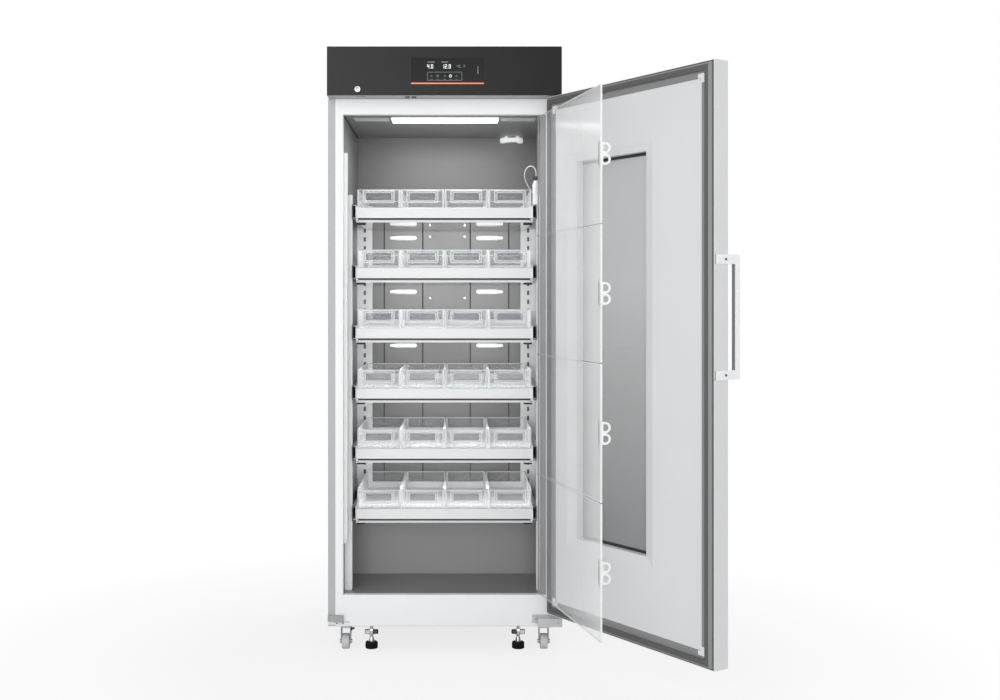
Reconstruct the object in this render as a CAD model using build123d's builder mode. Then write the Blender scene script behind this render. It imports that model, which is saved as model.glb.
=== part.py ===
from build123d import *
import os
from math import asin, atan2, cos, degrees, hypot, pi, radians, sin, tan

# Blood bank refrigerator, upright, with one glazed main door, four clear inner doors
# and six drawers of clear bins. It is modelled with the doors open.
# Millimetres. X to the right, Y from the front opening to the back, Z up from the floor.
# The origin is on the floor, below the middle of the front opening's plane.

os.makedirs("parts", exist_ok=True)

# Clearances: a turning fit, and a piece that lies against its seat without touching
running_clearance = 0.05
seat_gap = 0.3

# Cabinet
cabinet_width = 758.0
cabinet_depth = 680.0
cabinet_height = 1714.0
floor_gap = 89.0
sheet = 1.2
flange_width = 24.0
corner_radius = 3.0

# Walls round the inner tub
side_wall = 49.0
sill_height = 102.0
head_height = 51.0
back_wall = 66.0
frame_thickness = 25.0
frame_chamfer = 1.2
liner_wall = 1.5
hump_depth = 290.0
hump_height = 204.0
machine_room_foam = 40.0

# Back panel: louvres and the power inlet
louvre_length = 150.0
louvre_height = 8.0
louvre_gap_x = 40.0
louvre_pitch_z = 22.0
louvre_columns = 3
louvre_rows = 8
louvre_above_base = 150.0
inlet_from_side = 75.0
inlet_above_base = 45.0
inlet_width = 48.0
inlet_height = 28.0
inlet_depth = 20.0
inlet_hole_width = 24.0
inlet_hole_height = 16.0
inlet_hole_depth = 14.0

# Air duct on the back wall
duct_sheet = 1.5
slot_length = 100.0
slot_height = 18.0
slot_offset = 160.0
slot_below_drawer = 73.0
seam_offsets = (88.0, 231.0)
seam_width = 3.0
seam_depth = 0.8

# Fan in the duct
fan_size = 120.0
fan_thickness = 25.0
fan_clearance = 7.5
fan_below_ceiling = 112.0
fan_frame_wall = 4.0
fan_tip_clearance = 2.0
fan_hub_radius = 20.0
fan_shaft_radius = 3.0
fan_rotor_setback = 4.0
spoke_width = 6.0
spoke_depth = 4.0
blade_count = 7
blade_chord = 15.0
blade_thickness = 2.0
blade_root = 4.0
blade_pitch_angle = 35.0

# Evaporator behind the duct panel
evaporator_width = 380.0
evaporator_above_hump = 255.0
evaporator_below_ceiling = 282.0
evaporator_plate = 2.0
evaporator_spacer = 12.0
evaporator_spacer_radius = 5.0
evaporator_spacer_inset = 10.0
evaporator_runs = 9
evaporator_run_inset = 25.0
evaporator_channel_width = 8.0
evaporator_channel_depth = 4.0

# Lamp in the ceiling
lamp_width = 350.0
lamp_depth = 100.0
lamp_front = 80.0
lamp_recess = 18.0
lamp_top_sheet = 3.6
diffuser_thickness = 2.5
diffuser_lap = 3.0

# Header hood with the controls
header_side_gap = 3.0
header_height = 157.0
header_depth = 260.0
header_sheet = 1.5
header_base_rim = 10.0
header_base_strip = 69.0
display_width = 233.0
display_height = 77.0
display_offset = 10.0
display_above_bottom = 43.0
display_lap = 5.0
display_thickness = 4.0
display_proud = 0.5
board_inset_x = 4.0
board_inset_z = 2.0
board_standoff = 10.0
board_standoff_radius = 3.0
board_standoff_inset = 8.0
board_thickness = 1.6
board_parts_inset = 30.0
relay_width = 35.0
relay_height = 30.0
relay_depth = 18.0
terminal_width = 40.0
terminal_height = 15.0
terminal_depth = 12.0
processor_size = 30.0
processor_depth = 3.0

# Key lock
lock_from_side = 98.0
lock_above_bottom = 20.0
lock_radius = 9.5
lock_length = 20.0
lock_proud = 2.0
keyway_width = 2.0
keyway_height = 8.0
keyway_depth = 8.0
cam_length = 26.0
cam_width = 8.0
cam_thickness = 3.0
cam_slot_clearance = 2.0
cam_pocket_depth = 16.0

# Drawers
drawer_count = 6
lowest_drawer_rise = 62.0
space_above_drawers = 298.0
drawer_hinge_clearance = 1.1
tray_nose = 10.0
tray_end_gap = 6.0
tray_sheet = 1.5
tray_side_height = 47.0
tray_rear_flap = 25.0
tray_back_lip = 24.0
bezel_height = 33.0
bezel_thickness = 4.0
lip_height = 10.0
lip_setback = 8.0
slide_thickness = 12.7
slide_height = 46.0
slide_drop = 13.0
slide_sheet = 1.5
slide_nose = 4.0
member_nose = 8.0
bin_count = 4
bin_gap = 2.0
bin_side_gap = 1.0
bin_end_gap = 3.0
bin_height = 62.0
bin_wall = 2.5
bin_corner = 6.0
label_margin = 21.75
label_height = 41.0
label_rim = 4.0
label_depth = 2.0
label_below_rim = 3.0

# Upright posts that carry the slides
front_post_front = 70.0
front_post_depth = 30.0
left_post_width = 23.3
post_above_drawer = 43.0
post_sheet = 2.0
rear_post_from_side = 0.3
rear_post_width = 55.7
rear_post_depth = 18.0
post_hole_pitch = 33.0
post_hole_width = 8.0
post_hole_height = 16.0
post_hole_margin = 30.0

# Temperature probe in its bottle
bottle_radius = 12.3
bottle_height = 82.0
bottle_shoulder = 12.0
bottle_neck_radius = 8.0
bottle_side_gap = 2.2
bottle_post_gap = 3.7
cap_radius = 9.5
cap_height = 14.0
cap_edge_radius = 1.5
shelf_thickness = 1.7
shelf_lip = 2.0
cable_diameter = 3.0

# Main door, described closed and then swung open
door_gap = 14.0
door_thickness = 52.0
door_above_base = 53.0
door_top_gap = 4.0
door_edge_radius = 4.0
door_open_angle = 122.4
hinge_inset = 14.0
hinge_depth = 22.0
hinge_pin_radius = 5.0
hinge_pin_reach = 22.0
pin_end_gap = 4.0
bush_wall = 4.0
bush_cap = 2.0
door_panel_sheet = 1.5
door_pad_rise = 1.5
door_pad_edge = 1.2
gasket_inset = 5.5
gasket_width = 39.5
gasket_bulb = 15.5
gasket_skirt = 4.0
gasket_gap = 1.0
gasket_chamfer = 6.5
window_free_margin = 288.0
window_hinge_margin = 143.0
window_bottom_margin = 262.0
window_top_margin = 219.0
window_bevel_side = 38.0
window_bevel_end = 27.0
window_bevel_depth = 10.0
window_reveal_depth = 33.0
surround_wall = 3.0
glass_thickness = 4.0
glass_lap = 12.0
spacer_width = 10.0
handle_length = 342.0
handle_rise = 958.0
handle_bracket_height = 26.0
handle_width = 15.0
handle_thickness = 19.0
handle_standoff = 41.0
handle_plate = 3.0
handle_plate_back = 2.0
handle_edge_radius = 3.0

# Door hinge brackets and the plain corner cap
hinge_plate = 4.0
bracket_sheet = 3.0
bracket_drop = 15.0
bracket_arm = 65.0
bracket_foot_arm = 81.0
bracket_side_gap = 1.0
bracket_foot_gap = 3.0
bracket_foot_height = 27.0
bracket_skirt = 27.0
bracket_reach = 13.0
upper_bracket_back = 60.0
upper_bracket_front_gap = 4.0
pin_hole_gap = 1.0
corner_cap_width = 51.0
corner_cap_height = 22.0
corner_cap_depth = 12.0
corner_cap_radius = 2.0
corner_strip_width = 70.0
corner_strip_height = 10.0
corner_strip_depth = 2.0
corner_strip_above_base = 5.0

# Inner doors, described closed and then swung open
inner_door_count = 4
inner_door_gap = 4.0
inner_door_bottom_gap = 1.9
inner_door_top_gap = 3.1
inner_door_side_gap = 6.0
inner_door_thickness = 5.0
inner_door_corner = 4.0
inner_hinge_inset = 24.0
inner_hinge_setback = 18.0
open_pane_clearance = 0.54
barrel_radius = 4.0
rod_radius = 2.0
ear_clearance = 0.3
stile_width = 18.5
stile_ahead = 8.0
stile_behind = 10.0
pull_height = 63.0
pull_reach = 25.0
pull_plate = 4.0
pull_rim = 5.75
pull_base_width = 9.0
pull_base_thickness = 3.0
keeper_above_floor = 185.0
keeper_below_ceiling = 122.0
keeper_width = 12.0
keeper_depth = 12.0
keeper_magnet = 4.0
magnet_height = 40.0
magnet_gap = 0.5

# Casters
caster_side_inset = 53.0
caster_front_inset = 79.0
caster_rear_inset = 62.0
caster_trail = 18.0
wheel_radius = 25.0
wheel_width = 24.0
wheel_edge_radius = 3.0
tyre_thickness = 9.0
hub_recess = 2.0
axle_radius = 4.0
axle_boss_wall = 4.0
axle_nut_width = 4.0
axle_nut_wall = 2.4
fork_plate = 3.0
fork_gap = 1.5
fork_neck = 3.0
fork_neck_wall = 3.0
fork_disc_height = 8.0
fork_disc_radius = 21.0
fork_crown_height = 8.0
fork_crown_ahead = 12.0
fork_crown_behind = 14.0
stem_radius = 6.0
stem_reach = 22.0
socket_wall = 6.0
socket_height = 30.0

# Brake pedal on the left front caster
brake_pin_radius = 3.0
brake_pin_end = 1.0
brake_eye_wall = 3.0
brake_pivot_back = 8.0
brake_pivot_drop = 8.0
brake_plate = 3.0
brake_reach = 30.0
brake_rise = 7.0
brake_tip = 5.0
brake_pad_width = 13.0
brake_pad_length = 14.0
brake_pad_ahead = 2.0

# Levelling feet
foot_side_inset = 137.0
foot_front_inset = 68.0
foot_radius = 20.5
foot_pad_height = 22.0
foot_pad_edge = 3.0
foot_cone_height = 18.0
foot_cone_radius = 9.0
foot_stem_radius = 5.0
foot_stem_reach = 21.0
foot_socket_wall = 5.0
foot_socket_height = 40.0
wing_height = 16.0
wing_length = 44.0
wing_below_base = 43.0
wing_thickness = 9.0

# Refrigeration unit in the machine room
compressor_from_side = 189.0
compressor_from_back = 160.0
compressor_radius = 78.0
compressor_height = 150.0
compressor_dome = 35.0
compressor_foot = 12.0
compressor_foot_radius = 10.0
compressor_foot_inset = 15.0
compressor_base_width = 200.0
compressor_base_depth = 140.0
compressor_base_sheet = 3.0
discharge_height = 90.0
condenser_from_side = 119.0
condenser_width = 260.0
condenser_depth = 90.0
condenser_height = 190.0
condenser_end_sheet = 3.0
condenser_fins = 26
condenser_fin = 1.5
condenser_fin_margin = 10.0
condenser_fin_lift = 18.0
condenser_fin_inset = 3.0
condenser_tube_rows = 3
condenser_tube_pitch = 50.0
condenser_tube_spread = 50.0
pipe_radius = 4.0

# Places worked out from the dimensions above
half_width = cabinet_width / 2
cabinet_top = floor_gap + cabinet_height
base_floor = floor_gap + sheet
half_opening = half_width - side_wall
tub_floor = floor_gap + sill_height
tub_ceiling = cabinet_top - head_height
liner_depth = cabinet_depth - back_wall
hump_front = liner_depth - hump_depth
hump_top = tub_floor + hump_height
rear_inside = cabinet_depth - sheet
machine_room_front = hump_front + machine_room_foam
machine_room_top = hump_top - machine_room_foam
duct_front = liner_depth - fan_thickness - duct_sheet - fan_clearance
fan_height = tub_ceiling - fan_below_ceiling
fan_bore = fan_size / 2 - fan_frame_wall
fan_sweep_radius = fan_bore - fan_tip_clearance
door_bottom = floor_gap + door_above_base
door_top = cabinet_top - door_top_gap
door_height = door_top - door_bottom
door_back = -door_gap
door_front = door_back - door_thickness
half_door = half_width
header_front = door_front
header_back = header_front + header_depth
header_top = cabinet_top + header_height
half_header = half_width - header_side_gap
pin_spot = (half_width - hinge_inset, door_front + hinge_depth)
bush_radius = hinge_pin_radius + bush_wall
bush_depth = hinge_pin_reach + pin_end_gap + bush_cap
lock_x = -half_header + lock_from_side
lock_z = cabinet_top + lock_above_bottom
cam_y = header_front + lock_length
cam_slot_x = (lock_x - cam_width / 2 - cam_slot_clearance, lock_x + cam_length)
cam_slot_y = (cam_y - cam_slot_clearance, cam_y + cam_thickness + cam_slot_clearance)
window_x = (-half_door + window_free_margin, half_door - window_hinge_margin)
window_z = (door_bottom + window_bottom_margin, door_top - window_top_margin)

# Inner door hinge line, pane places and the angle at which the panes stand clear of the gasket
hinge_spot = (half_opening - inner_hinge_inset, inner_hinge_setback)
pane_pitch = (
    tub_ceiling - inner_door_top_gap - tub_floor - inner_door_bottom_gap
) / inner_door_count
first_ear = tub_floor + inner_door_bottom_gap
pane_bottoms = [first_ear + pane_pitch * k + inner_door_gap / 2 for k in range(inner_door_count)]
pane_height = pane_pitch - inner_door_gap
pane_free_x = -half_opening + inner_door_side_gap
pane_front = inner_hinge_setback - inner_door_thickness / 2
pane_back = inner_hinge_setback + inner_door_thickness / 2
opened = radians(door_open_angle)
seal_corner_x = half_door - gasket_inset - gasket_chamfer - pin_spot[0]
seal_corner_y = -gasket_gap - pin_spot[1]
corner_x = pin_spot[0] + seal_corner_x * cos(opened) - seal_corner_y * sin(opened) - hinge_spot[0]
corner_y = pin_spot[1] + seal_corner_x * sin(opened) + seal_corner_y * cos(opened) - hinge_spot[1]
pane_offset = inner_door_thickness / 2 + open_pane_clearance
corner_turn = asin(pane_offset / hypot(corner_x, corner_y))
inner_open_angle = degrees(atan2(corner_y, corner_x) + pi - corner_turn)
print("inner door opening angle", round(inner_open_angle, 4))
door_axis = Axis((pin_spot[0], pin_spot[1], 0), (0, 0, 1))
inner_axis = Axis((hinge_spot[0], hinge_spot[1], 0), (0, 0, 1))

# Drawer places: the right slide passes the inner doors' hinge barrels with a clearance
slide_left_outer = -half_opening + left_post_width
member_right = hinge_spot[0] - barrel_radius - drawer_hinge_clearance
slide_right_outer = member_right + slide_sheet + seat_gap
tray_left = slide_left_outer + slide_thickness
tray_right = slide_right_outer - slide_thickness
tray_middle = (tray_left + tray_right) / 2
slide_front = front_post_front - slide_nose
slide_back = duct_front - rear_post_depth
tray_front = front_post_front + tray_nose
tray_back = slide_back - tray_end_gap
bin_front = tray_front + bezel_thickness + bin_end_gap
bin_back = tray_back - bin_end_gap
bin_pitch = (tray_right - tray_left - 2 * bin_side_gap) / bin_count
bin_width = bin_pitch - bin_gap
lowest_drawer_top = hump_top + lowest_drawer_rise
drawer_pitch = (tub_ceiling - space_above_drawers - lowest_drawer_top) / (drawer_count - 1)
drawer_tops = [lowest_drawer_top + drawer_pitch * k for k in range(drawer_count)]
post_top = drawer_tops[-1] + post_above_drawer
front_post_back = front_post_front + front_post_depth
bottle_x = tray_right + bottle_side_gap + bottle_radius
bottle_y = front_post_back + bottle_post_gap + bottle_radius

# Caster and foot places
caster_x = half_width - caster_side_inset
caster_front_y = caster_front_inset
caster_rear_y = cabinet_depth - caster_rear_inset
fork_disc_top = floor_gap - fork_neck
fork_crown_top = fork_disc_top - fork_disc_height
fork_crown_bottom = fork_crown_top - fork_crown_height
foot_x = half_width - foot_side_inset


def block(x_range, y_range, z_range, mode=Mode.ADD):
    """A box given by its limits along X, Y and Z, in the builder that is open."""
    lows = [min(r) for r in (x_range, y_range, z_range)]
    highs = [max(r) for r in (x_range, y_range, z_range)]
    middle = tuple((low + high) / 2 for low, high in zip(lows, highs))
    with Locations(middle):
        Box(*(high - low for low, high in zip(lows, highs)), mode=mode)


def upright(centre, radius, z_range, mode=Mode.ADD):
    """A cylinder that stands along Z between two heights."""
    with Locations((centre[0], centre[1], sum(z_range) / 2)):
        Cylinder(radius, abs(z_range[1] - z_range[0]), mode=mode)


def along_x(x_range, y, z, radius, mode=Mode.ADD):
    """A cylinder that lies along X between two places."""
    with Locations((sum(x_range) / 2, y, z)):
        Cylinder(radius, abs(x_range[1] - x_range[0]), rotation=(0, 90, 0), mode=mode)


def along_y(y_range, x, z, radius, mode=Mode.ADD):
    """A cylinder that lies along Y between two places."""
    with Locations((x, sum(y_range) / 2, z)):
        Cylinder(radius, abs(y_range[1] - y_range[0]), rotation=(90, 0, 0), mode=mode)


def keep(piece, name):
    """Labels a finished piece and writes it."""
    piece.label = name
    export_step(piece, f"parts/{name}.step")


# Outer cabinet: one wrapped sheet with front flanges, sockets for the casters and the feet
caster_spots = [(side * caster_x, y) for side in (-1, 1) for y in (caster_front_y, caster_rear_y)]
foot_spots = [(side * foot_x, foot_front_inset) for side in (-1, 1)]
foot_socket_radius = foot_stem_radius + foot_socket_wall
socket_radius = stem_radius + socket_wall
with BuildPart() as outer_cabinet:
    with BuildSketch(Plane.XY.offset(floor_gap)):
        with Locations((0, cabinet_depth / 2)):
            RectangleRounded(cabinet_width, cabinet_depth, corner_radius)
    extrude(amount=cabinet_height)
    with BuildSketch(Plane.XY.offset(floor_gap + sheet)):
        with Locations((0, cabinet_depth / 2)):
            RectangleRounded(
                cabinet_width - 2 * sheet, cabinet_depth - 2 * sheet, corner_radius - sheet
            )
    extrude(amount=cabinet_height - 2 * sheet, mode=Mode.SUBTRACT)
    inside_flange = half_width - flange_width
    inside_heights = (floor_gap + sheet, cabinet_top - sheet)
    block((-inside_flange, inside_flange), (-sheet, 2 * sheet), inside_heights, Mode.SUBTRACT)
    inside_corner = half_width - corner_radius
    back_cut = (rear_inside - sheet, cabinet_depth + sheet)
    block((-inside_corner, inside_corner), back_cut, inside_heights, Mode.SUBTRACT)
    for spot in caster_spots:
        upright(spot, socket_radius, (floor_gap, floor_gap + socket_height))
        bore = stem_radius + running_clearance
        upright(spot, bore, (floor_gap, floor_gap + socket_height - sheet), Mode.SUBTRACT)
    for spot in foot_spots:
        upright(spot, foot_socket_radius, (floor_gap, floor_gap + foot_socket_height))
        bore = foot_stem_radius + running_clearance
        upright(spot, bore, (floor_gap, floor_gap + foot_socket_height - sheet), Mode.SUBTRACT)
keep(outer_cabinet.part, "outer_cabinet")

# Rear panel with a louvred field over the machine room and the power inlet
with BuildPart() as rear_panel:
    inside_x = half_width - corner_radius
    block((-inside_x, inside_x), (rear_inside, cabinet_depth), inside_heights)
    louvre_middle = floor_gap + louvre_above_base
    with BuildSketch(Plane.XZ.offset(-cabinet_depth)):
        with Locations((0, louvre_middle)):
            with GridLocations(
                louvre_length + louvre_gap_x, louvre_pitch_z, louvre_columns, louvre_rows
            ):
                SlotOverall(louvre_length, louvre_height)
    extrude(amount=2 * sheet, both=True, mode=Mode.SUBTRACT)
    inlet_x = half_width - inlet_from_side
    inlet_z = floor_gap + inlet_above_base
    with Locations((inlet_x, rear_inside - inlet_depth / 2, inlet_z)):
        Box(inlet_width, inlet_depth, inlet_height)
    hole_y = (rear_inside - inlet_hole_depth, cabinet_depth + sheet)
    with Locations((inlet_x, sum(hole_y) / 2, inlet_z)):
        hole_depth = hole_y[1] - hole_y[0]
        Box(inlet_hole_width, hole_depth, inlet_hole_height, mode=Mode.SUBTRACT)
keep(rear_panel.part, "rear_panel")

# Front frame: the white breaker frame between the sheet cabinet and the tub
with BuildPart() as front_frame:
    flat_x = half_width - flange_width
    lap_x = half_width - corner_radius
    block((-flat_x, flat_x), (0, frame_thickness), inside_heights)
    block((-lap_x, lap_x), (sheet, frame_thickness), inside_heights)
    tub_heights = (tub_floor, tub_ceiling)
    block((-half_opening, half_opening), (-sheet, frame_thickness + sheet), tub_heights, Mode.SUBTRACT)
    edges = front_frame.edges().filter_by(Axis.Z).group_by(Axis.Y)[0]
    inner_edges = [e for e in edges if abs(abs(e.center().X) - half_opening) < sheet]
    chamfer(inner_edges, frame_chamfer)
keep(front_frame.part, "front_frame")

# Tub profile in the YZ plane: a step at the lower back clears the machine room
def tub_profile(grow, front):
    """The tub's outline seen from the side, grown outwards by a wall."""
    return [
        (front, tub_floor - grow),
        (hump_front + grow, tub_floor - grow),
        (hump_front + grow, hump_top - grow),
        (liner_depth + grow, hump_top - grow),
        (liner_depth + grow, tub_ceiling + grow),
        (front, tub_ceiling + grow),
    ]


lamp_hole_x = lamp_width / 2
lamp_back = lamp_front + lamp_depth
with BuildPart() as liner:
    with BuildSketch(Plane.YZ):
        Polygon(*tub_profile(liner_wall, frame_thickness), align=None)
    extrude(amount=half_opening + liner_wall, both=True)
    with BuildSketch(Plane.YZ):
        Polygon(*tub_profile(0, frame_thickness - sheet), align=None)
    extrude(amount=half_opening, both=True, mode=Mode.SUBTRACT)
    block(
        (-lamp_hole_x, lamp_hole_x),
        (lamp_front, lamp_back),
        (tub_ceiling - sheet, tub_ceiling + 2 * liner_wall),
        Mode.SUBTRACT,
    )
keep(liner.part, "liner")

# Insulation foamed between the cabinet and the tub
lamp_top = tub_ceiling + liner_wall + lamp_recess
with BuildPart() as foam_insulation:
    with BuildSketch(Plane.XY.offset(floor_gap + sheet)):
        with Locations((0, cabinet_depth / 2)):
            RectangleRounded(
                cabinet_width - 2 * sheet, cabinet_depth - 2 * sheet, corner_radius - sheet
            )
    extrude(amount=cabinet_height - 2 * sheet)
    block((-half_width, half_width), (0, frame_thickness), inside_heights, Mode.SUBTRACT)
    with BuildSketch(Plane.YZ):
        Polygon(*tub_profile(liner_wall, 0), align=None)
    extrude(amount=half_opening + liner_wall, both=True, mode=Mode.SUBTRACT)
    block(
        (-half_width, half_width),
        (machine_room_front, cabinet_depth),
        (floor_gap, machine_room_top),
        Mode.SUBTRACT,
    )
    lamp_pocket_x = lamp_hole_x + diffuser_lap
    block(
        (-lamp_pocket_x, lamp_pocket_x),
        (lamp_front - diffuser_lap, lamp_back + diffuser_lap),
        (tub_ceiling, lamp_top),
        Mode.SUBTRACT,
    )
    for spot in caster_spots:
        upright(spot, socket_radius, (floor_gap, floor_gap + socket_height), Mode.SUBTRACT)
    for spot in foot_spots:
        foot_socket_top = floor_gap + foot_socket_height
        upright(spot, foot_socket_radius, (floor_gap, foot_socket_top), Mode.SUBTRACT)
keep(foam_insulation.part, "foam_insulation")

# Lamp: a channel above the ceiling and a clear cover below it
with BuildPart() as lamp_housing:
    lamp_x = lamp_hole_x + diffuser_lap
    lamp_y = (lamp_front - diffuser_lap, lamp_back + diffuser_lap)
    block((-lamp_x, lamp_x), lamp_y, (tub_ceiling + liner_wall, lamp_top))
    channel_z = (tub_ceiling + liner_wall, lamp_top - lamp_top_sheet)
    block((-lamp_hole_x, lamp_hole_x), (lamp_front, lamp_back), channel_z, Mode.SUBTRACT)
keep(lamp_housing.part, "lamp_housing")

with BuildPart() as lamp_diffuser:
    diffuser_z = (tub_ceiling - diffuser_thickness, tub_ceiling)
    block((-lamp_x, lamp_x), lamp_y, diffuser_z)
    lower_rim = lamp_diffuser.faces().sort_by(Axis.Z)[0].edges()
    chamfer(lower_rim, diffuser_thickness / 2)
keep(lamp_diffuser.part, "lamp_diffuser")

# Air duct panel: the back wall that shows, with slots above each drawer and returns to the tub
slot_heights = [top - slot_below_drawer for top in drawer_tops[1:]]
duct_x = half_opening - seat_gap
with BuildPart() as air_duct_panel:
    duct_z = (hump_top, tub_ceiling)
    block((-duct_x, duct_x), (duct_front, liner_depth), duct_z)
    inner_x = duct_x - duct_sheet
    inner_z = (hump_top + duct_sheet, tub_ceiling - duct_sheet)
    block((-inner_x, inner_x), (duct_front + duct_sheet, liner_depth + duct_sheet), inner_z, Mode.SUBTRACT)
    with BuildSketch(Plane.XZ.offset(-duct_front)):
        with Locations(*[(side * slot_offset, z) for side in (-1, 1) for z in slot_heights]):
            SlotOverall(slot_length, slot_height)
    extrude(amount=2 * duct_sheet, both=True, mode=Mode.SUBTRACT)
    for seam in seam_offsets:
        for side in (-1, 1):
            seam_x = (side * seam - seam_width / 2, side * seam + seam_width / 2)
            block(seam_x, (duct_front, duct_front + seam_depth), duct_z, Mode.SUBTRACT)
keep(air_duct_panel.part, "air_duct_panel")

# Evaporator: a plate with a serpentine channel, on spacers against the tub's back
evaporator_y = liner_depth - evaporator_spacer - evaporator_plate
with BuildPart() as evaporator:
    plate_y = (evaporator_y, evaporator_y + evaporator_plate)
    evaporator_z = (hump_top + evaporator_above_hump, tub_ceiling - evaporator_below_ceiling)
    half_plate = evaporator_width / 2
    block((-half_plate, half_plate), plate_y, evaporator_z)
    run_pitch = (evaporator_z[1] - evaporator_z[0]) / (evaporator_runs + 1)
    run_x = half_plate - evaporator_run_inset
    channel_y = (evaporator_y - evaporator_channel_depth, evaporator_y)
    half_channel = evaporator_channel_width / 2
    for run in range(evaporator_runs):
        z = evaporator_z[0] + run_pitch * (run + 1)
        block((-run_x, run_x), channel_y, (z - half_channel, z + half_channel))
        if run < evaporator_runs - 1:
            side = 1 if run % 2 else -1
            turn_x = (side * run_x, side * (run_x - evaporator_channel_width))
            block(turn_x, channel_y, (z, z + run_pitch))
    spacer_x = half_plate - evaporator_spacer_inset
    for x in (-spacer_x, spacer_x):
        for z in (evaporator_z[0] + evaporator_spacer_inset, evaporator_z[1] - evaporator_spacer_inset):
            along_y((plate_y[1], liner_depth), x, z, evaporator_spacer_radius)
keep(evaporator.part, "evaporator")

# Fan at the top of the duct: a square frame with a hub on four spokes, and its rotor
fan_front = duct_front + duct_sheet
fan_back = fan_front + fan_thickness
with BuildPart() as fan_shroud:
    half_fan = fan_size / 2
    fan_z = (fan_height - half_fan, fan_height + half_fan)
    block((-half_fan, half_fan), (fan_front, fan_back), fan_z)
    along_y((fan_front - sheet, fan_back + sheet), 0, fan_height, fan_bore, Mode.SUBTRACT)
    spoke_y = (fan_back - spoke_depth, fan_back)
    half_spoke = spoke_width / 2
    spoke_reach = fan_bore + fan_frame_wall / 2
    block((-spoke_reach, spoke_reach), spoke_y, (fan_height - half_spoke, fan_height + half_spoke))
    block((-half_spoke, half_spoke), spoke_y, (fan_height - spoke_reach, fan_height + spoke_reach))
    along_y(spoke_y, 0, fan_height, fan_hub_radius)
    along_y((fan_front + fan_rotor_setback / 2, spoke_y[0]), 0, fan_height, fan_shaft_radius)
keep(fan_shroud.part, "fan_shroud")

with BuildPart() as fan_blades:
    rotor_y = (fan_front + fan_rotor_setback, spoke_y[0] - seat_gap)
    along_y(rotor_y, 0, fan_height, fan_hub_radius)
    hub_plane = Plane((0, sum(rotor_y) / 2, fan_height), x_dir=(1, 0, 0), z_dir=(0, -1, 0))
    blade_reach = fan_sweep_radius - fan_hub_radius + blade_root
    with Locations(hub_plane):
        with PolarLocations(fan_hub_radius - blade_root + blade_reach / 2, blade_count):
            Box(blade_reach, blade_thickness, blade_chord, rotation=(blade_pitch_angle, 0, 0))
    bore = fan_shaft_radius + running_clearance
    along_y((fan_front, fan_back), 0, fan_height, bore, Mode.SUBTRACT)
keep(fan_blades.part, "fan_blades")

# Header hood: closed sheet box with an overhang above the main door
display_bottom = cabinet_top + display_above_bottom
display_top = display_bottom + display_height
display_left = display_offset - display_width / 2
display_right = display_offset + display_width / 2
with BuildPart() as header_cover:
    with BuildSketch(Plane.XY.offset(cabinet_top)):
        with Locations((0, (header_front + header_back) / 2)):
            RectangleRounded(2 * half_header, header_depth, corner_radius)
    extrude(amount=header_height)
    fillet(header_cover.faces().sort_by(Axis.Z)[-1].edges(), corner_radius / 2)
    inner_x = half_header - header_sheet
    inner_y = (header_front + header_sheet, header_back - header_sheet)
    inner_z = (cabinet_top + header_sheet, header_top - header_sheet)
    block((-inner_x, inner_x), inner_y, inner_z, Mode.SUBTRACT)
    open_x = inner_x - header_base_rim
    open_y = (header_front + header_base_strip, inner_y[1] - header_base_rim)
    block((-open_x, open_x), open_y, (cabinet_top - sheet, inner_z[0]), Mode.SUBTRACT)
    cut_y = (header_front - sheet, header_front + header_sheet)
    block((display_left, display_right), cut_y, (display_bottom, display_top), Mode.SUBTRACT)
    bore = lock_radius + running_clearance
    along_y(cut_y, lock_x, lock_z, bore, Mode.SUBTRACT)
    bottom_z = (cabinet_top - sheet, inner_z[0])
    upright(pin_spot, hinge_pin_radius + pin_hole_gap, bottom_z, Mode.SUBTRACT)
    block(cam_slot_x, cam_slot_y, bottom_z, Mode.SUBTRACT)
keep(header_cover.part, "header_cover")

# Display: a stepped glass panel that fills the cut-out from behind
with BuildPart() as display_panel:
    front_y = (header_front - display_proud, header_front + header_sheet)
    front_x = (display_left + seat_gap, display_right - seat_gap)
    front_z = (display_bottom + seat_gap, display_top - seat_gap)
    block(front_x, front_y, front_z)
    lap_x = (display_left - display_lap, display_right + display_lap)
    lap_z = (display_bottom - display_lap, display_top + display_lap)
    display_back = header_front + header_sheet + display_thickness
    block(lap_x, (header_front + header_sheet, display_back), lap_z)
keep(display_panel.part, "display_panel")

# Control board on four standoffs behind the display
with BuildPart() as control_board:
    board_x = (display_left + board_inset_x, display_right - board_inset_x)
    board_z = (display_bottom + board_inset_z, display_top - board_inset_z)
    board_y = display_back + board_standoff
    block(board_x, (board_y, board_y + board_thickness), board_z)
    for x in (board_x[0] + board_standoff_inset, board_x[1] - board_standoff_inset):
        for z in (board_z[0] + board_standoff_inset, board_z[1] - board_standoff_inset):
            along_y((display_back, board_y), x, z, board_standoff_radius)
    parts_back = board_y + board_thickness
    board_middle = ((board_x[0] + board_x[1]) / 2, (board_z[0] + board_z[1]) / 2)
    board_parts = (
        (board_x[0] + board_parts_inset + relay_width / 2, relay_width, relay_height, relay_depth),
        (board_middle[0], processor_size, processor_size, processor_depth),
        (
            board_x[1] - board_parts_inset - terminal_width / 2,
            terminal_width,
            terminal_height,
            terminal_depth,
        ),
    )
    for x, width, height, depth in board_parts:
        with Locations((x, parts_back + depth / 2, board_middle[1])):
            Box(width, depth, height)
keep(control_board.part, "control_board")

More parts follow.
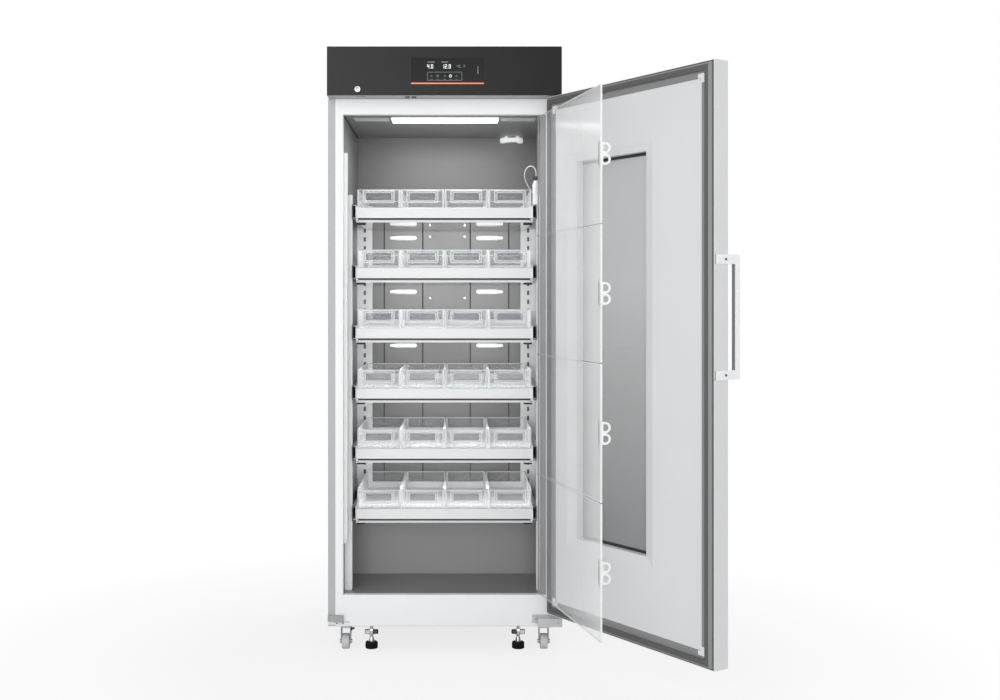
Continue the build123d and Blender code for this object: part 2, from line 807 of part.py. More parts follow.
# Key lock: a turning barrel with a cam that drops into the door's top edge
with BuildPart() as key_lock_barrel:
    along_y((header_front - lock_proud, cam_y), lock_x, lock_z, lock_radius)
    keyway_y = (header_front - lock_proud, header_front - lock_proud + keyway_depth)
    with Locations((lock_x, sum(keyway_y) / 2, lock_z)):
        Box(keyway_width, keyway_depth, keyway_height, mode=Mode.SUBTRACT)
    cam_x = (lock_x - cam_width / 2, lock_x + cam_length)
    cam_z = (lock_z - cam_width / 2, lock_z + cam_width / 2)
    block(cam_x, (cam_y, cam_y + cam_thickness), cam_z)
keep(key_lock_barrel.part, "key_lock_barrel")

# Hinge brackets: the lower one with its skirt and pin, the upper one inside the hood,
# and the plain cap on the corner where the door could be hung the other way
lower_plate_top = door_bottom - bracket_drop
bracket_left = pin_spot[0] - bracket_arm
bracket_front = pin_spot[1] - bracket_reach
with BuildPart() as lower_bracket:
    foot_x_range = (pin_spot[0] - bracket_foot_arm, half_width - bracket_foot_gap)
    foot_z = (lower_plate_top - bracket_foot_height, lower_plate_top)
    block(foot_x_range, (-bracket_sheet, 0), foot_z)
    arm_x = (bracket_left, half_width - bracket_side_gap)
    block(arm_x, (bracket_front, 0), (lower_plate_top - hinge_plate, lower_plate_top))
    skirt_y = (bracket_front, bracket_front + bracket_sheet)
    skirt_z = (lower_plate_top - bracket_skirt, lower_plate_top)
    block(arm_x, skirt_y, skirt_z)
    for x, inward in zip(arm_x, (1, -1)):
        block((x, x + inward * bracket_sheet), (bracket_front, 0), skirt_z)
    upright(pin_spot, bush_radius, (lower_plate_top, door_bottom - seat_gap))
    upright(pin_spot, hinge_pin_radius, (lower_plate_top, door_bottom + hinge_pin_reach))
with BuildPart() as upper_bracket:
    upper_x = (bracket_left, half_header - header_sheet - bracket_side_gap)
    upper_y = (header_front + upper_bracket_front_gap, upper_bracket_back)
    upper_z = cabinet_top + header_sheet
    block(upper_x, upper_y, (upper_z, upper_z + hinge_plate))
    upright(pin_spot, hinge_pin_radius, (door_top - hinge_pin_reach, upper_z))
with BuildPart() as corner_cap:
    strip_bottom = floor_gap + corner_strip_above_base
    strip_top = strip_bottom + corner_strip_height
    cap_z = (strip_top, strip_top + corner_cap_height)
    block((-half_width, -half_width + corner_cap_width), (-corner_cap_depth, 0), cap_z)
    strip_x = (-half_width, -half_width + corner_strip_width)
    block(strip_x, (-corner_strip_depth, 0), (strip_bottom, strip_top))
    front_edges = corner_cap.edges().filter_by(Axis.Z).group_by(Axis.Y)[0]
    fillet(front_edges, corner_cap_radius)
hinge_brackets = Compound(children=[lower_bracket.part, upper_bracket.part, corner_cap.part])
keep(hinge_brackets, "hinge_brackets")

# Upright posts: two in front against the side walls, two at the back against the duct
post_hole_middle = (post_top + hump_top) / 2
post_hole_run = post_top - hump_top - 2 * post_hole_margin
post_hole_count = int(post_hole_run / post_hole_pitch)
shelf_z = drawer_tops[-1] - slide_drop + slide_height / 2 + seat_gap
shelf_top = shelf_z + shelf_thickness


def holed_strip(across, width, z_range):
    """A post's face as a sketch: a tall strip with a row of slots down its middle."""
    with Locations((across, sum(z_range) / 2)):
        Rectangle(width, z_range[1] - z_range[0])
    with Locations((across, post_hole_middle)):
        with GridLocations(1, post_hole_pitch, 1, post_hole_count):
            Rectangle(post_hole_width, post_hole_height, mode=Mode.SUBTRACT)


posts = []
front_z = (tub_floor, post_top)
front_middle = front_post_front + front_post_depth / 2
for face, wall in ((slide_left_outer, -half_opening), (slide_right_outer, half_opening)):
    side = 1 if wall > 0 else -1
    with BuildPart() as front_post:
        with BuildSketch(Plane.YZ.offset(face)):
            holed_strip(front_middle, front_post_depth, front_z)
        extrude(amount=side * post_sheet)
        for y in (front_post_front, front_post_back - post_sheet):
            block((face, wall), (y, y + post_sheet), front_z)
        if side > 0:
            shelf_x = (tray_right + bottle_side_gap, half_opening)
            shelf_y = (front_post_back - post_sheet, bottle_y + bottle_radius + shelf_lip)
            block(shelf_x, shelf_y, (shelf_z, shelf_top))
    posts.append(front_post.part)
rear_z = (hump_top, post_top)
rear_y = (duct_front - rear_post_depth, duct_front)
rear_outer = half_opening - rear_post_from_side
for side in (-1, 1):
    rear_x = (side * (rear_outer - rear_post_width), side * rear_outer)
    with BuildPart() as rear_post:
        with BuildSketch(Plane.XZ.offset(-rear_y[0])):
            holed_strip(sum(rear_x) / 2, rear_post_width, rear_z)
        extrude(amount=-post_sheet)
        for x in rear_x:
            inward = post_sheet if x == min(rear_x) else -post_sheet
            block((x, x + inward), rear_y, rear_z)
    posts.append(rear_post.part)
keep(Compound(children=posts), "drawer_posts")

# Slides: fixed channels on the posts, and the members that ride inside them on each drawer
slide_sides = ((slide_left_outer, 1), (slide_right_outer, -1))
with BuildPart() as slide_rails:
    for top in drawer_tops:
        middle = top - slide_drop
        rail_z = (middle - slide_height / 2, middle + slide_height / 2)
        hollow_z = (rail_z[0] + slide_sheet, rail_z[1] - slide_sheet)
        for outer, inward in slide_sides:
            lip_x = outer + inward * (slide_thickness - slide_sheet - seat_gap)
            block((outer, lip_x), (slide_front, slide_back), rail_z)
            hollow_x = (outer + inward * slide_sheet, lip_x + inward)
            hollow_y = (slide_front - 1, slide_back - slide_sheet)
            block(hollow_x, hollow_y, hollow_z, Mode.SUBTRACT)
keep(slide_rails.part, "slide_rails")


def slide_member(top, outer, inward):
    """One drawer's sliding member: a channel that faces the fixed one."""
    middle = top - slide_drop
    reach = slide_height / 2 - slide_sheet - seat_gap
    with BuildPart() as member:
        web_x = outer + inward * slide_thickness
        tip_x = outer + inward * (slide_sheet + seat_gap)
        member_y = (tray_front - member_nose, tray_back)
        block((tip_x, web_x), member_y, (middle - reach, middle + reach))
        hollow_z = (middle - reach + slide_sheet, middle + reach - slide_sheet)
        hollow_x = (tip_x - inward, web_x - inward * slide_sheet)
        block(hollow_x, (member_y[0] - 1, member_y[1] + 1), hollow_z, Mode.SUBTRACT)
    return member.part


def drawer_tray(top):
    """A drawer's folded sheet tray with its white bezel and lower lip."""
    tray_x = (tray_left, tray_right)
    side_bottom = top - tray_side_height
    bezel_bottom = top - bezel_height
    with BuildPart() as tray:
        block(tray_x, (tray_front, tray_front + bezel_thickness), (bezel_bottom, top))
        block(tray_x, (tray_front, tray_back), (top - tray_sheet, top))
        for x, inward in ((tray_left, 1), (tray_right, -1)):
            side_x = (x, x + inward * tray_sheet)
            block(side_x, (tray_front, tray_back), (side_bottom, top))
        rear_z = (top - tray_rear_flap, top + tray_back_lip)
        block(tray_x, (tray_back - tray_sheet, tray_back), rear_z)
        lip_y = (tray_front + lip_setback, tray_front + lip_setback + bezel_thickness)
        block(tray_x, lip_y, (bezel_bottom - lip_height, bezel_bottom))
        block(tray_x, (tray_front, lip_y[1]), (bezel_bottom, bezel_bottom + tray_sheet))
        block(tray_x, (lip_y[0], tray_back), (side_bottom, side_bottom + tray_sheet))
        block(tray_x, lip_y, (side_bottom, bezel_bottom))
    return tray.part


def drawer_bins(top):
    """The clear bins of one drawer, each with a raised label frame on its front."""
    length = bin_back - bin_front
    middle_y = (bin_front + bin_back) / 2
    with BuildPart() as bins:
        with BuildSketch(Plane.XY.offset(top)):
            with Locations((tray_middle, middle_y)):
                with GridLocations(bin_pitch, 1, bin_count, 1):
                    RectangleRounded(bin_width, length, bin_corner)
        extrude(amount=bin_height)
        with BuildSketch(Plane.XY.offset(top + bin_wall)):
            with Locations((tray_middle, middle_y)):
                with GridLocations(bin_pitch, 1, bin_count, 1):
                    RectangleRounded(
                        bin_width - 2 * bin_wall, length - 2 * bin_wall, bin_corner - bin_wall
                    )
        extrude(amount=bin_height, mode=Mode.SUBTRACT)
        label_width = bin_width - 2 * label_margin
        label_z = top + bin_height - label_below_rim - label_height / 2
        with BuildSketch(Plane.XZ.offset(-bin_front)):
            with Locations((tray_middle, label_z)):
                with GridLocations(bin_pitch, 1, bin_count, 1):
                    Rectangle(label_width, label_height)
                    inner = (label_width - 2 * label_rim, label_height - 2 * label_rim)
                    Rectangle(*inner, mode=Mode.SUBTRACT)
        extrude(amount=label_depth)
    return bins.part


top_tray = drawer_tray(drawer_tops[-1])
top_members = [slide_member(drawer_tops[-1], outer, inward) for outer, inward in slide_sides]
top_bins = drawer_bins(drawer_tops[-1])
for number, top in enumerate(reversed(drawer_tops), start=1):
    lower = Location((0, 0, top - drawer_tops[-1]))
    tray_pieces = [piece.moved(lower) for piece in (top_tray, *top_members)]
    keep(Compound(children=tray_pieces), f"drawer_tray_{number}")
    keep(top_bins.moved(lower), f"drawer_bins_{number}")

# Temperature probe: a bottle on the shelf of the right front post, its cap and its cable
with BuildPart() as bottle:
    with BuildSketch(Plane.XZ):
        with BuildLine():
            Polyline(
                (0, 0),
                (bottle_radius, 0),
                (bottle_radius, bottle_height - bottle_shoulder),
                (bottle_neck_radius, bottle_height - bottle_shoulder / 2),
                (bottle_neck_radius, bottle_height),
                (0, bottle_height),
                close=True,
            )
        make_face()
    revolve(axis=Axis.Z)
bottle_place = Location((bottle_x, bottle_y, shelf_top))
cap_bottom = shelf_top + bottle_height
with BuildPart() as cap:
    upright((bottle_x, bottle_y), cap_radius, (cap_bottom, cap_bottom + cap_height))
    fillet(cap.faces().sort_by(Axis.Z)[-1].edges(), cap_edge_radius)
probe_bottle = Compound(children=[bottle.part.moved(bottle_place), cap.part])
keep(probe_bottle, "probe_bottle")

# The cable's route: straight up out of the cap, over in a loop, down behind the bins' edge
# and square into the side wall
cable_points = [
    Vector(bottle_x, bottle_y, cap_bottom + cap_height),
    Vector(bottle_x, bottle_y, cap_bottom + cap_height + 15),
    Vector(301, 123, 1590),
    Vector(291, 135, 1600),
    Vector(278, 149, 1598),
    Vector(269, 163, 1585),
    Vector(268, 177, 1567),
    Vector(275, 190, 1549),
    Vector(286, 200, 1531),
    Vector(298, 207, 1514),
    Vector(313, 210, 1504),
    Vector(half_opening, 210, 1504),
]


def bend_radii(points):
    """The largest arc that each pair of runs allows."""
    radii = []
    for before, corner, after in zip(points, points[1:], points[2:]):
        arriving, leaving = corner - before, after - corner
        turn = arriving.get_angle(leaving)
        shorter = min(arriving.length, leaving.length)
        radii.append(0.45 * shorter / tan(radians(turn / 2)))
    return radii


cable_radii = bend_radii(cable_points)
with BuildPart() as probe_cable:
    with BuildLine() as cable_route:
        FilletPolyline(*cable_points, radius=cable_radii)
    with BuildSketch(Plane(cable_points[0], z_dir=(0, 0, 1))):
        Circle(cable_diameter / 2)
    sweep()
keep(probe_cable.part, "probe_cable")
route_length = cable_route.wire().length
section = 3.14159 * cable_diameter**2 / 4
print("probe cable length", round(route_length, 1), "radii", [round(r, 1) for r in cable_radii])
print("volume against section times length", round(probe_cable.part.volume / section / route_length, 4))

# Main door: outer pan with hinge bushes


def pan_section(shrink, back):
    """The pan's outline seen from above, in from each face by a wall, with round front edges."""
    depth = back - (door_front + shrink)
    with Locations((0, (back + door_front + shrink) / 2)):
        outline = Rectangle(2 * (half_door - shrink), depth)
    front_corners = outline.vertices().group_by(Axis.Y)[0]
    fillet(front_corners, door_edge_radius - shrink)


door_cavity = (door_bottom + sheet, door_top - sheet)
with BuildPart() as door_shell:
    with BuildSketch(Plane.XY.offset(door_bottom)):
        pan_section(0, door_back)
    extrude(amount=door_height)
    with BuildSketch(Plane.XY.offset(door_cavity[0])):
        pan_section(sheet, door_back)
    extrude(amount=door_height - 2 * sheet, mode=Mode.SUBTRACT)
    block(window_x, (door_front - sheet, door_front + 2 * sheet), window_z, Mode.SUBTRACT)
    for end_z, inward in ((door_bottom, 1), (door_top, -1)):
        upright(pin_spot, bush_radius, sorted((end_z, end_z + inward * bush_depth)))
        bore_end = end_z + inward * (bush_depth - bush_cap)
        bore = hinge_pin_radius + running_clearance
        upright(pin_spot, bore, sorted((end_z, bore_end)), Mode.SUBTRACT)
    block(cam_slot_x, cam_slot_y, (door_top - 2 * sheet, door_top + sheet), Mode.SUBTRACT)
keep(door_shell.part.rotate(door_axis, door_open_angle), "door_shell")

# Door inner panel: a flange under the gasket, a raised field and the window's moulded surround
panel_back = door_back + door_panel_sheet
pad_back = panel_back + door_pad_rise
reveal_front = pad_back - window_reveal_depth
pad_inset = gasket_inset + gasket_width + seat_gap
bevel_x = (window_x[0] - window_bevel_side, window_x[1] + window_bevel_side)
bevel_z = (window_z[0] - window_bevel_end, window_z[1] + window_bevel_end)
surround_x = (bevel_x[0] - surround_wall, bevel_x[1] + surround_wall)
surround_z = (bevel_z[0] - surround_wall, bevel_z[1] + surround_wall)
window_middle = (sum(window_x) / 2, sum(window_z) / 2)
with BuildPart() as door_inner_panel:
    block((-half_door, half_door), (door_back, panel_back), (door_bottom, door_top))
    pad_x = half_door - pad_inset
    pad_z = (door_bottom + pad_inset, door_top - pad_inset)
    block((-pad_x, pad_x), (panel_back, pad_back), pad_z)
    fillet(door_inner_panel.edges().group_by(Axis.Y)[-1], door_pad_edge)
    block(surround_x, (reveal_front, panel_back), surround_z)
    with BuildSketch(Plane.XZ.offset(-pad_back)):
        with Locations(window_middle):
            Rectangle(bevel_x[1] - bevel_x[0], bevel_z[1] - bevel_z[0])
    with BuildSketch(Plane.XZ.offset(-pad_back + window_bevel_depth)):
        with Locations(window_middle):
            Rectangle(window_x[1] - window_x[0], window_z[1] - window_z[0])
    loft(mode=Mode.SUBTRACT)
    block(window_x, (reveal_front - sheet, pad_back), window_z, Mode.SUBTRACT)
keep(door_inner_panel.part.rotate(door_axis, door_open_angle), "door_inner_panel")

# Door glazing: two panes held apart by a spacer frame
glass_x = (window_x[0] - glass_lap, window_x[1] + glass_lap)
glass_z = (window_z[0] - glass_lap, window_z[1] + glass_lap)
outer_pane_y = (door_front + sheet, door_front + sheet + glass_thickness)
inner_pane_y = (reveal_front - glass_thickness, reveal_front)
with BuildPart() as outer_pane:
    block(glass_x, outer_pane_y, glass_z)
with BuildPart() as inner_pane:
    block(glass_x, inner_pane_y, glass_z)
with BuildPart() as spacer_frame:
    spacer_y = (outer_pane_y[1], inner_pane_y[0])
    block(glass_x, spacer_y, glass_z)
    gap_x = (glass_x[0] + spacer_width, glass_x[1] - spacer_width)
    gap_z = (glass_z[0] + spacer_width, glass_z[1] - spacer_width)
    block(gap_x, (spacer_y[0] - sheet, spacer_y[1] + sheet), gap_z, Mode.SUBTRACT)
window_glass = Compound(children=[outer_pane.part, inner_pane.part, spacer_frame.part])
keep(window_glass.rotate(door_axis, door_open_angle), "window_glass")

# Door insulation round the window
with BuildPart() as door_foam:
    with BuildSketch(Plane.XY.offset(door_cavity[0])):
        pan_section(sheet, door_back)
    extrude(amount=door_height - 2 * sheet)
    block(surround_x, (reveal_front, door_back + sheet), surround_z, Mode.SUBTRACT)
    block(glass_x, (door_front, reveal_front), glass_z, Mode.SUBTRACT)
    for bush_z in ((door_bottom, door_bottom + bush_depth), (door_top - bush_depth, door_top)):
        upright(pin_spot, bush_radius, bush_z, Mode.SUBTRACT)
    block(cam_slot_x, cam_slot_y, (door_top - cam_pocket_depth, door_top), Mode.SUBTRACT)
keep(door_foam.part.rotate(door_axis, door_open_angle), "door_foam")

# Door gasket: a magnetic seal with a raised bulb outside and a flat skirt inside it
with BuildPart() as door_gasket:
    gasket_x = half_door - gasket_inset
    gasket_y = (panel_back, -gasket_gap)
    block((-gasket_x, gasket_x), gasket_y, (door_bottom + gasket_inset, door_top - gasket_inset))
    lip_edges = door_gasket.edges().group_by(Axis.Y)[-1]
    chamfer(lip_edges, gasket_chamfer)
    skirt_face = panel_back + gasket_skirt
    for inward, low_y in ((gasket_bulb, skirt_face), (gasket_width, gasket_y[0] - sheet)):
        hole_x = gasket_x - inward
        hole_z = (door_bottom + gasket_inset + inward, door_top - gasket_inset - inward)
        block((-hole_x, hole_x), (low_y, gasket_y[1] + sheet), hole_z, Mode.SUBTRACT)
keep(door_gasket.part.rotate(door_axis, door_open_angle), "door_gasket")

# Door handle: a flat bar on two brackets that wrap the door's free edge
bar_back = door_front - handle_standoff + handle_thickness
bar_front = door_front - handle_standoff
bar_x = (-half_door - handle_plate, -half_door - handle_plate + handle_width)
handle_bottom = door_bottom + handle_rise - handle_length / 2
handle_top = handle_bottom + handle_length
bar_z = (handle_bottom + handle_bracket_height, handle_top - handle_bracket_height)
with BuildPart() as handle_bar:
    block(bar_x, (bar_front, bar_back), bar_z)
    fillet(handle_bar.edges().filter_by(Axis.Z), handle_edge_radius)
brackets = []
for bracket_z in ((handle_bottom, bar_z[0]), (bar_z[1], handle_top)):
    with BuildPart() as bracket:
        plate_x = (-half_door - handle_plate, -half_door)
        block(plate_x, (bar_front, door_back - handle_plate_back), bracket_z)
        block(bar_x, (bar_front, door_front), bracket_z)
        fillet(bracket.edges().filter_by(Axis.Z).group_by(Axis.Y)[0], handle_edge_radius)
    brackets.append(bracket.part)
door_handle = Compound(children=[handle_bar.part, *brackets])
keep(door_handle.rotate(door_axis, door_open_angle), "door_handle")

# Inner doors: clear panes, each with a hinge barrel and a pull with two finger holes
lobe_radius = pull_height / 4
lobe_y = pane_front - pull_reach + lobe_radius
pull_hole_radius = lobe_radius - pull_rim
for number, bottom in enumerate(reversed(pane_bottoms), start=1):
    pane_z = (bottom, bottom + pane_height)
    with BuildPart() as pane:
        block((pane_free_x, hinge_spot[0]), (pane_front, pane_back), pane_z)
        fillet(pane.edges().filter_by(Axis.Y).group_by(Axis.X)[0], inner_door_corner)
        upright(hinge_spot, barrel_radius, pane_z)
        bore = rod_radius + running_clearance
        upright(hinge_spot, bore, pane_z, Mode.SUBTRACT)
    keep(pane.part.rotate(inner_axis, inner_open_angle), f"inner_door_{number}")
    middle = bottom + pane_height / 2
    lobes = [(lobe_y, middle + side * lobe_radius) for side in (-1, 1)]
    with BuildPart() as pull:
        with BuildSketch(Plane.YZ.offset(pane_free_x)):
            with Locations(*lobes):
                Circle(lobe_radius)
            with Locations(((lobe_y + pane_front) / 2, middle)):
                Rectangle(pane_front - lobe_y, pull_height)
            with Locations((pane_front - pull_reach / 2, middle)):
                Rectangle(pull_reach, pull_height, mode=Mode.INTERSECT)
        extrude(amount=pull_plate)
        for lobe in lobes:
            with BuildSketch(Plane.YZ.offset(pane_free_x)):
                with Locations(lobe):
                    Circle(pull_hole_radius)
                flat_y = pane_front - pull_base_thickness
                with Locations((flat_y - pull_hole_radius, lobe[1])):
                    Rectangle(2 * pull_hole_radius, 2 * pull_hole_radius, mode=Mode.INTERSECT)
            extrude(amount=pull_plate, mode=Mode.SUBTRACT)
        base_x = (pane_free_x, pane_free_x + pull_base_width)
        base_y = (pane_front - pull_base_thickness, pane_front)
        block(base_x, base_y, (middle - pull_height / 2, middle + pull_height / 2))
    keep(pull.part.rotate(inner_axis, inner_open_angle), f"inner_pull_{number}")

# Inner door stile on the right wall: ears between the doors and one long hinge rod
ear_half = inner_door_gap / 2 - ear_clearance
ear_places = [first_ear + pane_pitch * k for k in range(inner_door_count + 1)]
stile_inner_x = half_opening - stile_width
stile_y = (inner_hinge_setback - stile_ahead, inner_hinge_setback + stile_behind)
ear_y = (inner_hinge_setback - barrel_radius, inner_hinge_setback + barrel_radius)
with BuildPart() as inner_door_stile:
    block((stile_inner_x, half_opening), stile_y, (tub_floor, tub_ceiling))
    for z in ear_places:
        ear_z = (z - ear_half, z + ear_half)
        block((hinge_spot[0], stile_inner_x), ear_y, ear_z)
        upright(hinge_spot, barrel_radius, ear_z)
    upright(hinge_spot, rod_radius, (ear_places[0] - ear_half, ear_places[-1] + ear_half))
keep(inner_door_stile.part, "inner_door_stile")

# Keeper strip on the left wall, with a magnet for each inner door
keeper_y = pane_back + magnet_gap + keeper_magnet
keeper_z = (tub_floor + keeper_above_floor, tub_ceiling - keeper_below_ceiling)
with BuildPart() as keeper_strip:
    keeper_x = (-half_opening, -half_opening + keeper_width)
    block(keeper_x, (keeper_y, keeper_y + keeper_depth), keeper_z)
    for bottom in pane_bottoms:
        middle = bottom + pane_height / 2
        magnet_z = (middle - magnet_height / 2, middle + magnet_height / 2)
        block(keeper_x, (keeper_y - keeper_magnet, keeper_y), magnet_z)
keep(keeper_strip.part, "keeper_strip")


def caster_fork(x, pin_y, wheel_y):
    """A caster's disc, stem, legs and axle, about an upright stem and a wheel behind it."""
    boss_radius = axle_radius + axle_boss_wall
    leg_inside = wheel_width / 2 + fork_gap
    leg_outside = leg_inside + fork_plate
    with BuildPart() as fork:
        upright((x, pin_y), fork_disc_radius, (fork_crown_top, fork_disc_top))
        upright((x, pin_y), stem_radius + fork_neck_wall, (fork_disc_top, floor_gap - seat_gap))
        upright((x, pin_y), stem_radius, (fork_disc_top, floor_gap + stem_reach))
        crown_y = (min(pin_y, wheel_y) - fork_crown_ahead, pin_y + fork_crown_behind)
        crown_z = (fork_crown_bottom, fork_crown_top)
        block((x - leg_outside, x + leg_outside), crown_y, crown_z)
        for start in (x - leg_outside, x + leg_inside):
            with BuildSketch(Plane.YZ.offset(start)):
                Polygon(
                    (crown_y[0], fork_crown_bottom),
                    (crown_y[1], fork_crown_bottom),
                    (wheel_y + boss_radius, wheel_radius),
                    (wheel_y - boss_radius, wheel_radius),
                    align=None,
                )
                with Locations((wheel_y, wheel_radius)):
                    Circle(boss_radius)
            extrude(amount=fork_plate)
        along_x((x - leg_outside, x + leg_outside), wheel_y, wheel_radius, axle_radius)
        for side in (-1, 1):
            nut_x = (x + side * leg_outside, x + side * (leg_outside + axle_nut_width))
            along_x(nut_x, wheel_y, wheel_radius, axle_radius + axle_nut_wall)
    return fork


def caster_wheel(x, y):
    """A solid tyre on its hub, bored for the axle."""
    half = wheel_width / 2
    boss_radius = axle_radius + axle_boss_wall
    with BuildPart() as wheel:
        along_x((x - half, x + half), y, wheel_radius, wheel_radius)
        fillet(wheel.edges().filter_by(GeomType.CIRCLE), wheel_edge_radius)
        for side in (-1, 1):
            hub_x = (x + side * (half - hub_recess), x + side * (half + fork_gap))
            along_x(hub_x, y, wheel_radius, wheel_radius - tyre_thickness, Mode.SUBTRACT)
            boss_x = (x + side * (half - 2 * hub_recess), x + side * (half + fork_gap - seat_gap))
            along_x(boss_x, y, wheel_radius, boss_radius)
        bore = axle_radius + running_clearance
        along_x((x - half - fork_gap, x + half + fork_gap), y, wheel_radius, bore, Mode.SUBTRACT)
    return wheel.part


# Brake pedal on the left front caster, pivoted on a pin in the fork's right leg
brake_pivot = (caster_front_y - brake_pivot_back, fork_crown_bottom - brake_pivot_drop)
leg_face = -caster_x + wheel_width / 2 + fork_gap + fork_plate
wheel_front_y = caster_front_y - caster_trail
left_fork = caster_fork(-caster_x, caster_front_y, wheel_front_y)
with left_fork:
    pin_x = (leg_face, leg_face + seat_gap + brake_plate + brake_pin_end)
    along_x(pin_x, *brake_pivot, brake_pin_radius)
keep(left_fork.part, "caster_fork_left")
keep(caster_fork(caster_x, caster_front_y, wheel_front_y).part, "caster_fork_right")
rear_forks = [caster_fork(side * caster_x, caster_rear_y, caster_rear_y).part for side in (-1, 1)]
keep(Compound(children=rear_forks), "caster_forks_rear")
keep(caster_wheel(-caster_x, wheel_front_y), "caster_wheel_front_left")
keep(caster_wheel(caster_x, wheel_front_y), "caster_wheel_front_right")
keep(caster_wheel(-caster_x, caster_rear_y), "caster_wheel_rear_left")
keep(caster_wheel(caster_x, caster_rear_y), "caster_wheel_rear_right")

with BuildPart() as caster_brake:
    arm_x = leg_face + seat_gap
    pivot_y, pivot_z = brake_pivot
    eye_radius = brake_pin_radius + brake_eye_wall
    tip_y = pivot_y - brake_reach
    with BuildSketch(Plane.YZ.offset(arm_x)):
        with Locations(brake_pivot):
            Circle(eye_radius)
        Polygon(
            (pivot_y, pivot_z - eye_radius),
            (pivot_y, pivot_z + eye_radius),
            (tip_y, pivot_z + brake_rise + brake_tip),
            (tip_y, pivot_z + brake_rise),
            align=None,
        )
    extrude(amount=brake_plate)
    pad_y = (tip_y - brake_pad_ahead, tip_y - brake_pad_ahead + brake_pad_length)
    pad_z = (pivot_z + brake_rise, pivot_z + brake_rise + brake_plate)
    block((arm_x, arm_x + brake_pad_width), pad_y, pad_z)
    bore = brake_pin_radius + running_clearance
    along_x((arm_x - seat_gap, arm_x + brake_pad_width), *brake_pivot, bore, Mode.SUBTRACT)
keep(caster_brake.part, "caster_brake")

# Levelling feet: a rubber pad on a threaded stem with a finger wing
cone_top = foot_pad_height + foot_cone_height
wing_bottom = floor_gap - wing_below_base
for name, (x, y) in zip(("left", "right"), foot_spots):
    with BuildPart() as foot:
        upright((x, y), foot_radius, (0, foot_pad_height))
        fillet(foot.edges().filter_by(GeomType.CIRCLE).group_by(Axis.Z)[-1], foot_pad_edge)
        with Locations((x, y, (foot_pad_height + cone_top) / 2)):
            Cone(foot_cone_radius, foot_stem_radius, foot_cone_height)
        upright((x, y), foot_stem_radius, (foot_pad_height, floor_gap + foot_stem_reach))
        with Locations((x, y, wing_bottom + wing_height / 2)):
            Box(wing_length, wing_thickness, wing_height)
    keep(foot.part, f"levelling_foot_{name}")

# Compressor on its rubber feet, with the pipe to the condenser
compressor_spot = (-half_width + compressor_from_side, cabinet_depth - compressor_from_back)
condenser_right = half_width - condenser_from_side
condenser_left = condenser_right - condenser_width
condenser_middle = (condenser_left + condenser_right) / 2
with BuildPart() as compressor:
    shell_bottom = base_floor + compressor_foot
    upright(compressor_spot, compressor_radius, (shell_bottom, shell_bottom + compressor_height))
    fillet(compressor.edges().filter_by(GeomType.CIRCLE).group_by(Axis.Z)[-1], compressor_dome)
    with Locations((*compressor_spot, shell_bottom + compressor_base_sheet / 2)):
        Box(compressor_base_width, compressor_base_depth, compressor_base_sheet)
    feet_x = compressor_base_width / 2 - compressor_foot_inset
    feet_y = compressor_base_depth / 2 - compressor_foot_inset
    for x in (compressor_spot[0] - feet_x, compressor_spot[0] + feet_x):
        for y in (compressor_spot[1] - feet_y, compressor_spot[1] + feet_y):
            upright((x, y), compressor_foot_radius, (base_floor, shell_bottom))
    pipe_x = (compressor_spot[0] + compressor_radius / 2, condenser_left)
    along_x(pipe_x, compressor_spot[1], shell_bottom + discharge_height, pipe_radius)
keep(compressor.part, "compressor")

# Condenser: upright fins on three rows of tubes, with end plates down to the deck
with BuildPart() as condenser:
    end_y = (compressor_spot[1] - condenser_depth / 2, compressor_spot[1] + condenser_depth / 2)
    end_z = (base_floor, base_floor + condenser_height)
    block((condenser_left, condenser_left + condenser_end_sheet), end_y, end_z)
    block((condenser_right - condenser_end_sheet, condenser_right), end_y, end_z)
    fin_pitch = (condenser_width - 2 * condenser_fin_margin) / (condenser_fins - 1)
    fin_height = condenser_height - condenser_fin_lift
    fin_depth = condenser_depth - 2 * condenser_fin_inset
    with Locations((condenser_middle, compressor_spot[1], end_z[1] - fin_height / 2)):
        with GridLocations(fin_pitch, 1, condenser_fins, 1):
            Box(condenser_fin, fin_depth, fin_height)
    tube_middle = end_z[1] - fin_height / 2
    for row in range(condenser_tube_rows):
        z = tube_middle + (row - (condenser_tube_rows - 1) / 2) * condenser_tube_pitch
        for side in (-1, 1):
            y = compressor_spot[1] + side * condenser_tube_spread / 2
            along_x((condenser_left, condenser_right), y, z, pipe_radius)
keep(condenser.part, "condenser")
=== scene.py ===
import bpy
import bmesh
from math import cos, pi, radians, sin
from mathutils import Matrix, Vector


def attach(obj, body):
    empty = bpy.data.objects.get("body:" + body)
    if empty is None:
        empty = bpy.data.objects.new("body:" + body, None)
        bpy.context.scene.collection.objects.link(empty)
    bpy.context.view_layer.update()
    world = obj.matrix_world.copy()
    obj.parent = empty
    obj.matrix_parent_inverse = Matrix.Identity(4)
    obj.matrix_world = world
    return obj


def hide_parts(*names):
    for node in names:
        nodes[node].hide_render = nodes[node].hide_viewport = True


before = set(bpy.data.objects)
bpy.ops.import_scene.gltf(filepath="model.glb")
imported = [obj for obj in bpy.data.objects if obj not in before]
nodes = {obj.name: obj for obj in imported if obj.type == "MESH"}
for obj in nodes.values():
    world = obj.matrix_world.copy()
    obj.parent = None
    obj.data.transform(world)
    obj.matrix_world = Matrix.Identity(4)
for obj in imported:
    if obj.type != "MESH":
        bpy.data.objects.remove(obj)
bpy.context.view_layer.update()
mm = 0.001
print("stage 1: frame loaded,", len(nodes), "nodes")

# Level camera in front of the opening, its frame shifted a little to the right and down
cameraView = {"place": (0.050, -4.095, 1.136), "lens": 45.36, "sensor": 36.0, "shift": (0.040, -0.046)}
# Enough bounces to look through every wall of the clear bins
bounces = {"clear": 48, "all": 14}


